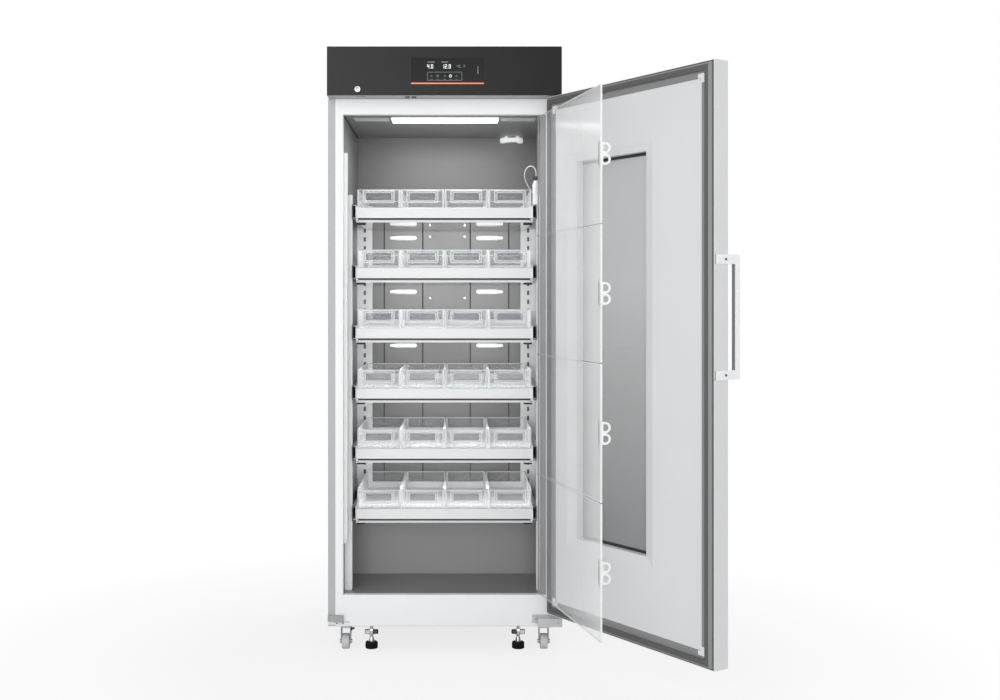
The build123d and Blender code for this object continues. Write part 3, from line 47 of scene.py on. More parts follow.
def linkObject(name, data, place=(0, 0, 0)):
    made = bpy.data.objects.new(name, data)
    made.location = place
    bpy.context.collection.objects.link(made)
    return made


def addCamera():
    data = bpy.data.cameras.new("photoCamera")
    data.lens = cameraView["lens"]
    data.sensor_width = cameraView["sensor"]
    data.shift_x, data.shift_y = cameraView["shift"]
    camera = linkObject("photoCamera", data, cameraView["place"])
    camera.rotation_euler = (radians(90), 0, 0)
    bpy.context.scene.camera = camera


addCamera()
bpy.context.scene.view_settings.view_transform = "Standard"
bpy.context.scene.cycles.transparent_max_bounces = bounces["clear"]
bpy.context.scene.cycles.max_bounces = bounces["all"]

# The probe's lead: out of the bottle's cap, over in a loop and down to the side wall
probeLead = {
    "points": [
        (0.3045, 0.116, 1.562), (0.3045, 0.116, 1.577), (0.301, 0.123, 1.590), (0.291, 0.135, 1.600),
        (0.278, 0.149, 1.598), (0.269, 0.163, 1.585), (0.268, 0.177, 1.567), (0.275, 0.190, 1.549),
        (0.286, 0.200, 1.531), (0.298, 0.207, 1.514), (0.313, 0.210, 1.504), (0.330, 0.210, 1.504),
    ],
    "length": 0.2127,
    "diameter": 0.003,
}


def addLead():
    curve = bpy.data.curves.new("probeLead", "CURVE")
    curve.dimensions = "3D"
    curve.bevel_depth = 0.5  # half of each point's radius, which holds the lead's full thickness
    curve.bevel_resolution = 3
    curve.resolution_u = 12
    spline = curve.splines.new("NURBS")
    spline.points.add(len(probeLead["points"]) - 1)
    for spot, place in zip(spline.points, probeLead["points"]):
        spot.co = (*place, 1)
        spot.radius = probeLead["diameter"]
    spline.order_u = 3
    spline.use_endpoint_u = True
    made = linkObject("probeLead", curve)
    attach(made, "cabinet")
    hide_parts("probe_cable")
    return made


lead = addLead()
print("stage 2: camera and probe lead placed")


# A number or a colour is set on the socket, and what another node puts out is linked to it
def feed(tree, value, socket):
    if isinstance(value, bpy.types.NodeSocket):
        tree.links.new(value, socket)
    elif socket.type == "RGBA":
        socket.default_value = (*value, 1)
    else:
        socket.default_value = value


def newGroup(name, inputs, outputs):
    group = bpy.data.node_groups.new(name, "ShaderNodeTree")
    for label, start in inputs.items():
        kind = "Float" if isinstance(start, float) else {3: "Vector", 4: "Color"}[len(start)]
        socket = group.interface.new_socket(name=label, in_out="INPUT", socket_type=f"NodeSocket{kind}")
        socket.default_value = start
    for label in outputs:
        kind = "Color" if label == "Color" else "Float"
        group.interface.new_socket(name=label, in_out="OUTPUT", socket_type=f"NodeSocket{kind}")
    return group, group.nodes.new("NodeGroupInput"), group.nodes.new("NodeGroupOutput")


def mathNode(tree, operation, first, second, clamp=False):
    node = tree.nodes.new("ShaderNodeMath")
    node.operation = operation
    node.use_clamp = clamp
    feed(tree, first, node.inputs[0])
    feed(tree, second, node.inputs[1])
    return node.outputs[0]


def scaled(tree, value, factor, plus, clamp=False):
    return mathNode(tree, "ADD", mathNode(tree, "MULTIPLY", value, factor), plus, clamp)


def vectorNode(tree, operation, first, second=None):
    node = tree.nodes.new("ShaderNodeVectorMath")
    node.operation = operation
    tree.links.new(first, node.inputs[0])
    if second is not None:
        tree.links.new(second, node.inputs["Scale" if operation == "SCALE" else 1])
    return node.outputs["Value" if operation in ("DOT_PRODUCT", "LENGTH") else "Vector"]


def placeNode(tree, output="Object"):
    return tree.nodes.new("ShaderNodeTexCoord").outputs[output]


def noiseNode(tree, vector, scale, detail):
    node = tree.nodes.new("ShaderNodeTexNoise")
    node.inputs["Detail"].default_value = detail
    tree.links.new(vector, node.inputs["Vector"])
    feed(tree, scale, node.inputs["Scale"])
    return node.outputs["Fac"]


# Two noises vary the colour and the roughness about their own values, and one of them gives the relief
def addVariation(group, start, end, noises, shares, strength, relief):
    mixed = scaled(group, noises[0], shares[0], mathNode(group, "MULTIPLY", noises[1], shares[1]))
    offset = mathNode(group, "SUBTRACT", mixed, 0.5)
    gain = scaled(group, offset, start.outputs[strength], 1.0)
    group.links.new(vectorNode(group, "SCALE", start.outputs["Color"], gain), end.inputs["Color"])
    rough = scaled(group, offset, start.outputs["Roughness Spread"], start.outputs["Roughness"], clamp=True)
    group.links.new(rough, end.inputs["Roughness"])
    group.links.new(relief, end.inputs["Height"])
    return group


# Paint and plastic: broad patches with a fine grain over them
def makeFineGrain():
    group, start, end = newGroup("fineGrain", {
        "Color": (0.8, 0.8, 0.8, 1), "Variation": 0.05, "Patch Scale": 6.0, "Grain Scale": 900.0,
        "Roughness": 0.4, "Roughness Spread": 0.1}, ("Color", "Roughness", "Height"))
    place = placeNode(group)
    patches = noiseNode(group, place, start.outputs["Patch Scale"], 3)
    grain = noiseNode(group, place, start.outputs["Grain Scale"], 2)
    return addVariation(group, start, end, (patches, grain), (0.7, 0.3), "Variation", grain)


# Sheet metal: long brushed lines, stretched along one direction, under faint clouds
def makeBrushedLines():
    group, start, end = newGroup("brushedLines", {
        "Color": (0.6, 0.6, 0.6, 1), "Contrast": 0.1, "Stretch": (700.0, 700.0, 6.0), "Roughness": 0.35,
        "Roughness Spread": 0.2}, ("Color", "Roughness", "Height"))
    place = placeNode(group)
    lines = noiseNode(group, vectorNode(group, "MULTIPLY", place, start.outputs["Stretch"]), 1.0, 4)
    clouds = noiseNode(group, place, 3.0, 2)
    return addVariation(group, start, end, (lines, clouds), (0.6, 0.4), "Contrast", lines)


def addSplit(group, end, mask, below, above):
    node = group.nodes.new("ShaderNodeMix")
    node.data_type = "RGBA"
    group.links.new(mask, node.inputs[0])
    group.links.new(below, node.inputs[6])
    group.links.new(above, node.inputs[7])
    group.links.new(mask, end.inputs["Mask"])
    group.links.new(node.outputs[2], end.inputs["Color"])
    return group


midGrey = (0.5, 0.5, 0.5, 1)
split = ("Mask", "Color")


# Two colours on either side of a plane, with a soft change between them
def makeZoneSplit():
    group, start, end = newGroup("zoneSplit", {
        "Direction": (0.0, 0.0, 1.0), "Level": 0.0, "Softness": 0.0005, "Below": midGrey, "Above": midGrey},
        split)
    along = vectorNode(group, "DOT_PRODUCT", placeNode(group), start.outputs["Direction"])
    past = mathNode(group, "SUBTRACT", along, start.outputs["Level"])
    mask = mathNode(group, "DIVIDE", past, start.outputs["Softness"], clamp=True)
    return addSplit(group, end, mask, start.outputs["Below"], start.outputs["Above"])


# Faces that look one way get the second colour
def makeFacingSplit():
    group, start, end = newGroup("facingSplit", {
        "Direction": (0.0, 0.0, -1.0), "Other": midGrey, "Facing": midGrey}, split)
    along = vectorNode(group, "DOT_PRODUCT", placeNode(group, "Normal"), start.outputs["Direction"])
    mask = mathNode(group, "GREATER_THAN", along, 0.7)
    return addSplit(group, end, mask, start.outputs["Other"], start.outputs["Facing"])


fineGrain = makeFineGrain()
brushedLines = makeBrushedLines()
zoneSplit = makeZoneSplit()
facingSplit = makeFacingSplit()


# Plain values go straight onto the shader's own sockets
def newMaterial(name, plain=None):
    material = bpy.data.materials.new(name)
    material.use_nodes = True
    tree = material.node_tree
    shader = tree.nodes["Principled BSDF"]
    for label, value in (plain or {}).items():
        shader.inputs[label].default_value = value
    return material, tree, shader


def placeGroup(tree, group, values):
    node = tree.nodes.new("ShaderNodeGroup")
    node.node_tree = group
    for label, value in values.items():
        feed(tree, value, node.inputs[label])
    return node


def placeZone(tree, below, above, level, softness=0.0005, direction=(0.0, 0.0, 1.0)):
    return placeGroup(tree, zoneSplit, {"Direction": direction, "Level": level, "Softness": softness,
                                        "Below": below, "Above": above})


# The pattern's colour and roughness on the shader, and its height as a slight relief
def wear(tree, shader, pattern, bump, depth):
    tree.links.new(pattern.outputs["Color"], shader.inputs["Base Color"])
    tree.links.new(pattern.outputs["Roughness"], shader.inputs["Roughness"])
    if bump is not None:
        relief = tree.nodes.new("ShaderNodeBump")
        relief.inputs["Strength"].default_value = bump
        relief.inputs["Distance"].default_value = depth
        tree.links.new(pattern.outputs["Height"], relief.inputs["Height"])
        tree.links.new(relief.outputs["Normal"], shader.inputs["Normal"])


def coat(tree, shader, color, rough, spread=0.1, variation=0.05, patch=8.0, grain=800.0, bump=None,
         depth=0.0003):
    pattern = placeGroup(tree, fineGrain, {
        "Color": color, "Variation": variation, "Patch Scale": patch, "Grain Scale": grain,
        "Roughness": rough, "Roughness Spread": spread})
    wear(tree, shader, pattern, bump, depth)
    return pattern.outputs


def addGlow(tree, shader, color, strength):
    tree.links.new(color, shader.inputs["Emission Color"])
    shader.inputs["Emission Strength"].default_value = strength


def grazingNode(tree, blend):
    facing = tree.nodes.new("ShaderNodeLayerWeight")
    facing.inputs["Blend"].default_value = blend
    return facing.outputs["Facing"]


def painted(name, color, rough, variation=0.06, patch=6.0, grain=900.0, spread=0.12, bump=0.12, specular=0.5,
            glow=0.0):
    material, tree, shader = newMaterial(name, {"Specular IOR Level": specular})
    look = coat(tree, shader, color, rough, spread, variation, patch, grain, bump, 0.0004)
    if glow:
        addGlow(tree, shader, look["Color"], glow)
    return material


# A second colour, where one is given, takes over towards the floor; on the duct panel it is darker, painted
# shade
def brushed(name, color, rough, stretch, contrast=0.15, spread=0.25, metallic=1.0, bump=0.1, low=None):
    material, tree, shader = newMaterial(name, {"Metallic": metallic})
    if low:
        color = placeZone(tree, low, color, 0.45, 0.9).outputs["Color"]
    pattern = placeGroup(tree, brushedLines, {"Color": color, "Contrast": contrast, "Stretch": stretch,
                                              "Roughness": rough, "Roughness Spread": spread})
    wear(tree, shader, pattern, bump, 0.0002)
    return material


# Clear plastic: see-through face on, whiter where the eye meets it at a low angle, a painted reflection; the
# glow there is a painted highlight
def clearPlastic(name, color, flat, grazing, power=2.0, glow=0.0):
    material, tree, shader = newMaterial(name, {"IOR": 1.49})
    look = coat(tree, shader, color, 0.08, 0.04, variation=0.04, patch=9.0, grain=300.0)
    curved = mathNode(tree, "POWER", grazingNode(tree, 0.5), power)
    tree.links.new(scaled(tree, curved, grazing - flat, flat, clamp=True), shader.inputs["Alpha"])
    if glow:
        addGlow(tree, shader, vectorNode(tree, "SCALE", look["Color"], curved), glow)
    return material


rubbery = {"variation": 0.2, "grain": 1500.0, "bump": 0.25}
sheetLines = (500, 500, 5)
finish = {
    # The cabinet and the door shell wear one grey paint; the door's lighter grey is painted light
    "caseGrey": painted("caseGreyPaint", (0.46, 0.465, 0.475), 0.38, bump=0.1),
    "doorGreyLit": painted("paintedLightDoorGrey", (0.67, 0.675, 0.685), 0.38, bump=0.1),
    "frameWhite": painted("frameWhitePaint", (0.885, 0.89, 0.895), 0.36),
    "linerSteel": brushed("linerBrushedSteel", (0.30, 0.30, 0.30), 0.42, sheetLines, metallic=0.3),
    # Darker towards the floor: painted shade low on the duct panel
    "ductSteel": brushed("ductBrushedSteel", (0.18, 0.18, 0.179), 0.40, sheetLines, metallic=0.3,
                         low=(0.12, 0.12, 0.119)),
    # Dark grey for the duct joints, and painted shadow for the lines in gaps, grooves and holes
    "seamAndShadowDark": painted("seamShadowGrey", (0.035, 0.035, 0.036), 0.6, bump=0.05),
    # White slot inserts and cable ring with a painted glow, though they are no lamp
    "slotWhiteGlow": painted("paintedGlowSlotInsert", (0.92, 0.925, 0.93), 0.35, glow=0.42),
    "ventGrey": painted("ventLightGrey", (0.62, 0.62, 0.62), 0.5),
    "displayGlass": painted("displayBlackGlass", (0.010, 0.010, 0.011), 0.16, variation=0.1, spread=0.05,
                            bump=0.0, specular=0.25),
    "digits": painted("displayDigits", (0.80, 0.84, 0.86), 0.5, glow=0.55),
    "faintLine": painted("displayFaintLine", (0.30, 0.31, 0.31), 0.5, glow=0.12),
    "accent": painted("displayAccent", (0.86, 0.24, 0.15), 0.45, glow=0.30),
    "doorWhite": painted("doorLinerPlastic", (0.76, 0.765, 0.77), 0.42, grain=600.0, bump=0.1),
    # One rubber gasket in three greys: the skirt's and side's lighter grey is painted light
    "gasket": painted("gasketDarkGrey", (0.10, 0.10, 0.102), 0.62, **rubbery),
    "gasketSkirtLit": painted("paintedLightGasketSkirt", (0.26, 0.26, 0.265), 0.6, **rubbery),
    "gasketSideLit": painted("paintedLightGasketSide", (0.25, 0.25, 0.253), 0.6, **rubbery),
    "plasticWhite": painted("fittingWhitePlastic", (0.84, 0.84, 0.845), 0.34, bump=0.08),
    "plasticGrey": painted("fittingGreyPlastic", (0.25, 0.25, 0.26), 0.45),
    "magnetGrey": painted("magnetStripGrey", (0.38, 0.38, 0.385), 0.5),
    "plasticDark": painted("fittingDarkPlastic", (0.07, 0.07, 0.072), 0.45),
    "plasticBlack": painted("fittingBlackPlastic", (0.022, 0.022, 0.024), 0.42),
    "wheelGrey": painted("wheelGreyPolymer", (0.60, 0.60, 0.605), 0.5, variation=0.2, bump=0.2),
    "rubberBlack": painted("footRubber", (0.005, 0.005, 0.006), 0.6, variation=0.3, bump=0.35, specular=0.15),
    "chrome": brushed("chromePlate", (0.74, 0.74, 0.75), 0.16, (90, 90, 90), 0.08, 0.1, bump=0.03),
    "zinc": brushed("zincSteel", (0.52, 0.525, 0.54), 0.32, (220, 220, 40), 0.25),
    "postSteel": brushed("postWhiteSteel", (0.88, 0.885, 0.89), 0.4, (600, 600, 12), 0.08, metallic=0.05),
    "slideSteel": brushed("slideZincSteel", (0.36, 0.365, 0.37), 0.34, (30, 8, 600), 0.25, metallic=0.7),
    # Bins glow faintly at low angles: a painted highlight
    "clearBin": clearPlastic("binClearAcrylic", (0.86, 0.88, 0.89), 0.08, 0.86, power=1.7, glow=0.10),
    # Bin rims and corners with a painted highlight
    "binEdgeGlint": clearPlastic("paintedGlintBinEdge", (0.92, 0.93, 0.935), 0.55, 0.92, glow=0.16),
    "labelBand": clearPlastic("binLabelBand", (0.82, 0.83, 0.84), 0.20, 0.50),
    "labelPane": clearPlastic("binLabelPane", (0.20, 0.215, 0.24), 0.28, 0.50),
    # Pane free edges with a painted highlight
    "paneEdgeGlint": clearPlastic("paintedGlintPaneEdge", (0.93, 0.94, 0.945), 0.86, 0.95, glow=0.10),
    "led": painted("ledDiffuser", (1.0, 1.0, 0.99), 0.5, variation=0.03, patch=20.0, glow=2.4),
    "fins": brushed("condenserFins", (0.50, 0.51, 0.52), 0.45, (900, 20, 20), 0.5),
    "motorBlack": painted("compressorEnamel", (0.018, 0.018, 0.02), 0.3, bump=0.15),
    "board": painted("boardGreen", (0.02, 0.14, 0.06), 0.4, grain=300.0),
    "foam": painted("foamCream", (0.72, 0.66, 0.44), 0.85, variation=0.25, grain=400.0, bump=0.6),
    "lead": painted("leadWhite", (0.84, 0.84, 0.84), 0.45, grain=1200.0),
}


# Pale bottle under a black cap
def makeProbe():
    material, tree, shader = newMaterial("probeBottle")
    zone = placeZone(tree, (0.86, 0.865, 0.87), (0.02, 0.02, 0.022), 1.548)
    coat(tree, shader, zone.outputs["Color"], 0.28, bump=0.08)
    return material


# Charcoal in front, with painted light making it a shade lighter towards the left, and light grey underneath
def makeHood():
    material, tree, shader = newMaterial("hoodCharcoal", {"Specular IOR Level": 0.18})
    zone = placeZone(tree, (0.033, 0.033, 0.034), (0.011, 0.011, 0.012), -0.37, 0.74, (1.0, 0.0, 0.0))
    under = placeGroup(tree, facingSplit, {"Other": zone.outputs["Color"], "Facing": (0.40, 0.40, 0.405)})
    coat(tree, shader, under.outputs["Color"], 0.45, variation=0.15, patch=6.0, grain=900.0, bump=0.15,
         depth=0.0004)
    return material


# White enamel, with a polished steel underside that mirrors the back wall
def makeTray():
    material, tree, shader = newMaterial("trayEnamelAndSteel")
    under = placeGroup(tree, facingSplit, {"Other": (0.80, 0.805, 0.81), "Facing": (0.42, 0.42, 0.425)})
    look = coat(tree, shader, under.outputs["Color"], 0.30, 0.05)
    polish = mathNode(tree, "MULTIPLY", under.outputs["Mask"], 0.25)
    tree.links.new(mathNode(tree, "SUBTRACT", look["Roughness"], polish), shader.inputs["Roughness"])
    tree.links.new(mathNode(tree, "MULTIPLY", under.outputs["Mask"], 0.95), shader.inputs["Metallic"])
    return material


# Tinted double glass that shows the pale room behind it, darker towards the floor as painted shade
def makeWindowGlass():
    material, tree, shader = newMaterial("windowGreyGlass")
    zone = placeZone(tree, (0.24, 0.245, 0.25), (0.61, 0.615, 0.62), 0.45, 0.75)
    coat(tree, shader, zone.outputs["Color"], 0.05, 0.03, variation=0.03, patch=4.0, grain=200.0)
    tree.links.new(scaled(tree, grazingNode(tree, 0.4), 0.25, 0.34, clamp=True), shader.inputs["Alpha"])
    return material


# Clear pane: a pale painted reflection that grows from the hinge towards the free edge, with a faint painted
# glow
def makePane():
    material, tree, shader = newMaterial("paneClearAcrylic", {"IOR": 1.20, "Specular IOR Level": 0.15})
    along = {"Direction": (0.2168, -0.9762, 0.0), "Level": 0.0488, "Softness": 0.63}
    reach = placeGroup(tree, zoneSplit, along).outputs["Mask"]
    look = coat(tree, shader, (0.92, 0.925, 0.93), 0.18, 0.04, variation=0.03, patch=5.0, grain=250.0)
    squared = mathNode(tree, "POWER", grazingNode(tree, 0.5), 2.0)
    paintedReflectionVeil = scaled(tree, reach, scaled(tree, reach, 0.55, 0.22), 0.03)
    tree.links.new(scaled(tree, squared, paintedReflectionVeil, 0.04, clamp=True), shader.inputs["Alpha"])
    # Faint painted glow over the whole pane
    addGlow(tree, shader, look["Color"], 0.09)
    return material


# Grey brackets, a darker corner cap on the left and the white corner strip under it
def makeBracket():
    material, tree, shader = newMaterial("bracketGreyPaint")
    side = placeZone(tree, (0.36, 0.365, 0.37), (0.55, 0.555, 0.565), -0.20, 0.02, (1.0, 0.0, 0.0))
    strip = placeZone(tree, (0.80, 0.805, 0.81), side.outputs["Color"], 0.0866, direction=(0.05, 0.0, 1.0))
    coat(tree, shader, strip.outputs["Color"], 0.4, bump=0.08)
    return material


# White plastic whose back, towards the door, lies in its own shadow
def makeHandle():
    material, tree, shader = newMaterial("handleWhitePlastic")
    back = placeGroup(tree, facingSplit, {"Direction": (-0.844, -0.536, 0.0), "Other": (0.85, 0.855, 0.86),
                                          "Facing": (0.24, 0.24, 0.245)})
    coat(tree, shader, back.outputs["Color"], 0.34, grain=900.0, bump=0.08)
    return material


finish.update(probe=makeProbe(), hood=makeHood(), bracket=makeBracket(), handle=makeHandle(), tray=makeTray(),
              windowGlass=makeWindowGlass(), clearPane=makePane())
print("stage 3:", len(finish), "finishes mixed")

# Which finish each CAD node wears, by how its name begins: the first that fits is taken
nodeFinish = {
    "outer_cabinet": "caseGrey", "rear_panel": "caseGrey", "front_frame": "frameWhite", "foam_": "foam",
    "door_foam": "foam", "liner": "linerSteel", "air_duct_panel": "ductSteel", "evaporator": "fins",
    "fan_shroud": "plasticGrey", "lamp_housing": "plasticWhite", "lamp_diffuser": "led",
    "header_cover": "hood", "display_panel": "displayGlass", "control_board": "board",
    "drawer_posts": "postSteel", "slide_rails": "slideSteel", "hinge_brackets": "bracket",
    "inner_door_stile": "plasticGrey", "inner_door": "clearPane", "inner_pull": "plasticWhite",
    "keeper_strip": "plasticWhite", "probe_bottle": "probe", "compressor": "motorBlack",
    "condenser": "fins", "fan_blades": "plasticBlack", "key_lock_barrel": "chrome", "caster_fork": "zinc",
    "caster_brake": "plasticBlack", "caster_wheel": "wheelGrey", "levelling_foot": "chrome",
    "door_shell": "doorGreyLit",
    "door_inner_panel": "doorWhite", "door_gasket": "gasket", "window_glass": "windowGlass",
    "door_handle": "handle", "drawer_tray": "tray", "drawer_bins": "clearBin", "": "plasticGrey",
}
for name, node in nodes.items():
    node.data.materials.clear()
    look = next(look for start, look in nodeFinish.items() if name.startswith(start))
    node.data.materials.append(finish[look])
lead.data.materials.append(finish["lead"])
print("stage 4: CAD nodes dressed")

# The shapes below are in millimetres, and what rides on a door is drawn with the door closed
hinges = {"main_door": {"pin": (365, -44), "angle": 122.4},
          "inner_door": {"pin": (306, 18), "angle": 102.5193}}
drawerRow = {"lowest": 457, "pitch": 199.4, "count": 6}
paneRow = {"lowest": 194.9, "pitch": 389, "count": 4}
paneHeight = 385
sharpAngle = 32


def swing(pin, angle):
    spot = Vector((pin[0] * mm, pin[1] * mm, 0))
    return Matrix.Translation(spot) @ Matrix.Rotation(radians(angle), 4, "Z") @ Matrix.Translation(-spot)


def levels(lowest, pitch, count):
    return [lowest + pitch * k for k in range(count)]


drawerTops = levels(**drawerRow)
paneBottoms = levels(**paneRow)


def addPiece(name, form, looks, body="cabinet", replaced=()):
    bmesh.ops.scale(form, vec=(mm, mm, mm), verts=form.verts)
    for door, hinge in hinges.items():
        if body.startswith(door):
            bmesh.ops.transform(form, matrix=swing(**hinge), verts=form.verts)
    bmesh.ops.recalc_face_normals(form, faces=form.faces)
    mesh = bpy.data.meshes.new(name)
    form.to_mesh(mesh)
    form.free()
    mesh.shade_smooth()
    mesh.set_sharp_from_angle(angle=radians(sharpAngle))
    for look in looks:
        mesh.materials.append(finish[look])
    piece = linkObject(name, mesh)
    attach(piece, body)
    if replaced:
        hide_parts(*replaced)


def span(middle, width):
    return middle - width / 2, middle + width / 2


def addBlock(form, x, y, z, bevel=0.5, look=0):
    made = bmesh.ops.create_cube(form, size=1)
    limits = [sorted(pair) for pair in (x, y, z)]
    size = Vector([high - low for low, high in limits])
    middle = Vector([(high + low) / 2 for low, high in limits])
    for vert in made["verts"]:
        vert.co = Vector((vert.co.x * size.x, vert.co.y * size.y, vert.co.z * size.z)) + middle
    for face in {face for vert in made["verts"] for face in vert.link_faces}:
        face.material_index = look
    if bevel:
        edges = list({edge for vert in made["verts"] for edge in vert.link_edges})
        bmesh.ops.bevel(form, geom=edges, offset=min(bevel, 0.35 * min(size)), segments=2, profile=0.5,
                        affect="EDGES", clamp_overlap=True)


def bridge(form, first, second, look=0, cornerLook=None, steps=4):
    count = max(len(first), len(second))
    for k in range(count):
        after = (k + 1) % count
        if len(first) == 1:
            corners = (first[0], second[after], second[k])
        elif len(second) == 1:
            corners = (first[k], first[after], second[0])
        else:
            corners = (first[k], first[after], second[after], second[k])
        face = form.faces.new(corners)
        onCorner = cornerLook is not None and k % (steps + 1) != steps
        face.material_index = cornerLook if onCorner else look


# One look for every band between the rings, or one look for each
def joinRings(form, rings, looks=0, closed=False):
    following = rings[1:] + rings[:1] if closed else rings[1:]
    for k, (first, second) in enumerate(zip(rings, following)):
        bridge(form, first, second, looks if isinstance(looks, int) else looks[k])


def capEnds(form, rings, look=0):
    for ring in (rings[0], rings[-1]):
        form.faces.new(ring).material_index = look


# Profile of (radius, along) pairs turned round an axis
def addLathe(form, profile, base, axis="z", steps=32, looks=0):
    rings = []
    for radius, along in profile:
        ring = []
        for k in range(steps if radius > 0 else 1):
            across = (radius * cos(2 * pi * k / steps), radius * sin(2 * pi * k / steps))
            spots = {"x": (along, *across), "y": (across[0], along, across[1]), "z": (*across, along)}
            ring.append(form.verts.new(Vector(base) + Vector(spots[axis])))
        rings.append(ring)
    joinRings(form, rings, looks)


def roundedLoop(width, height, radius, steps):
    points = []
    for corner, (sideU, sideV) in enumerate(((1, 1), (-1, 1), (-1, -1), (1, -1))):
        for step in range(steps + 1):
            angle = pi / 2 * (corner + step / steps)
            points.append((sideU * (width / 2 - radius) + radius * cos(angle),
                           sideV * (height / 2 - radius) + radius * sin(angle)))
    return points


# Rounded loop at one depth of the front plane, or flat at one height
def addLoop(form, wide, tall, inset, level, radius, steps=4, flat=False):
    loop = roundedLoop(wide[1] - wide[0] - 2 * inset, tall[1] - tall[0] - 2 * inset, radius, steps)
    across = sum(wide) / 2
    along = sum(tall) / 2
    spots = [(across + u, along + v, level) if flat else (across + u, level, along + v) for u, v in loop]
    return [form.verts.new(spot) for spot in spots]


# Picture-frame ring in the front plane: each row is (inset, depth), joined all round
def addRing(form, x, z, rows, radius=0.5, looks=0, steps=4):
    rings = [addLoop(form, x, z, inset, depth, max(radius - inset, 0.15), steps) for inset, depth in rows]
    joinRings(form, rings, looks, closed=True)


# Flat rounded plate in the front plane
def addPlate(form, x, z, y, radius, look=0):
    rows = ((0.4, y[1]), (0, y[1] - 0.1), (0, y[0] + 0.1), (0.4, y[0]))
    rings = [addLoop(form, x, z, inset, depth, max(radius - inset, 0.1)) for inset, depth in rows]
    joinRings(form, rings, look)
    capEnds(form, rings, look)


# Part of a ring in the front plane, between two angles in degrees
def addArc(form, spot, y, radii, angles, steps=20, look=0):
    ribs = []
    for k in range(steps + 1):
        angle = radians(angles[0] + (angles[1] - angles[0]) * k / steps)
        rib = []
        for radius, depth in ((radii[0], y[0]), (radii[1], y[0]), (radii[1], y[1]), (radii[0], y[1])):
            rib.append(form.verts.new((spot[0] + radius * cos(angle), depth, spot[1] + radius * sin(angle))))
        ribs.append(rib)
    joinRings(form, ribs, look)
    capEnds(form, ribs, look)


# Domed screw head whose recess is a dark cross of painted shade, on a face that looks along -Y
screw = {"radius": 3.4, "rise": 1.3, "slot": (3.2, 0.6)}


def addScrew(form, x, y, z):
    radius = screw["radius"]
    crown = y - screw["rise"]
    profile = ((radius, y), (radius, y - 0.5), (radius * 0.7, crown), (0, crown - 0.1))
    addLathe(form, profile, (x, 0, z), "y", 16)
    for wide, tall in (screw["slot"], screw["slot"][::-1]):
        addBlock(form, span(x, wide), (crown - 0.3, crown + 0.2), span(z, tall), 0, 1)


# Control panel: two readings, their faint headings and signs, a row of touch marks and the accent line
display = {
    "front": -66.5, "rise": 0.35, "readings": (("4.0", -54.9), ("12.0", -7)), "digitZ": 1889.2,
    "digitTall": 12.8, "headings": ((-54, -30), (-10, 12)), "headingZ": (1908.5, 1910.6),
    "signs": (((41.5, 1897.5), (1.3, 2.1), (0, 360), 16), ((49.5, 1896), (3, 4.2), (50, 310), 16),
              ((63, 1896.5), (4.2, 5.4), (-30, 90), 1), ((63, 1896.5), (4.2, 5.4), (90, 210), 1),
              ((63, 1896.5), (4.2, 5.4), (210, 330), 1)),
    "gauge": ((106.5, 108.3), (1872, 1889)), "gaugeTop": (107.4, 1893),
    "touchBox": ((-54, 56.4), (1850.6, 1877.8)), "marks": (-41.5, -21, 1, 19.5, 39),
    "markZ": 1865.5, "underline": (1854, 1854.8), "power": 3, "powerZ": (1865, 1871),
    "line": ((-106.5, 126.5), (1839.4, 1843.6)),
}
digitStrokes = {"0": "abcdef", "1": "bc", "2": "abdeg", "4": "bcfg"}


def addDigits(form, text, left, low, height, y):
    wide = height * 0.5
    stroke = height * 0.13
    places = {
        "a": (0, wide, height - stroke, height), "b": (wide - stroke, wide, height / 2, height),
        "c": (wide - stroke, wide, 0, height / 2), "d": (0, wide, 0, stroke), "e": (0, stroke, 0, height / 2),
        "f": (0, stroke, height / 2, height), "g": (0, wide, (height - stroke) / 2, (height + stroke) / 2),
    }
    for mark in text:
        if mark == ".":
            addBlock(form, (left, left + stroke), y, (low, low + stroke), 0.1)
            left += stroke * 2.2
            continue
        for part in digitStrokes[mark]:
            x0, x1, z0, z1 = places[part]
            addBlock(form, (left + x0, left + x1), y, (low + z0, low + z1), 0.15)
        left += wide + stroke * 1.4


def addDisplay(front, rise, readings, digitZ, digitTall, headings, headingZ, signs, gauge, gaugeTop, touchBox,
               marks, markZ, underline, power, powerZ, line):
    y = (front - rise, front + 0.1)
    form = bmesh.new()
    for text, left in readings:
        addDigits(form, text, left, digitZ, digitTall, y)
    addPiece("displayDigits", form, ("digits",))
    form = bmesh.new()
    for x in headings:
        addBlock(form, x, y, headingZ, 0.2)
    for spot, radii, angles, steps in signs:
        addArc(form, spot, y, radii, angles, steps)
    addBlock(form, gauge[0], y, gauge[1], 0.2)
    addArc(form, gaugeTop, y, (1.2, 2.2), (0, 360), 14)
    addRing(form, *touchBox, ((0, y[1]), (0, y[0]), (0.9, y[0]), (0.9, y[1])), 2.5)
    for k, x in enumerate(marks):
        addBlock(form, span(x, 8), y, underline, 0.1)
        if k != power:
            angles, steps = ((0, 360), 12) if k % 2 else ((120, 420), 3)
            addArc(form, (x, markZ), y, (2.6, 3.6), angles, steps)
    addPiece("displayMarks", form, ("faintLine",))
    form = bmesh.new()
    addArc(form, (marks[power], powerZ[0]), y, (3.2, 4.6), (125, 415), 18)
    addBlock(form, span(marks[power], 1.4), y, powerZ, 0.2)
    addPiece("displayPowerMark", form, ("digits",))
    form = bmesh.new()
    addBlock(form, line[0], y, line[1], 0.2)
    addPiece("displayAccentLine", form, ("accent",))


# Key lock face: chrome ring and plug, with the keyway and an arc round it drawn dark as painted shade
lockFace = {"x": -278, "y": -68, "z": 1823, "radius": 9.5, "keyway": (-0.8, 3.4)}


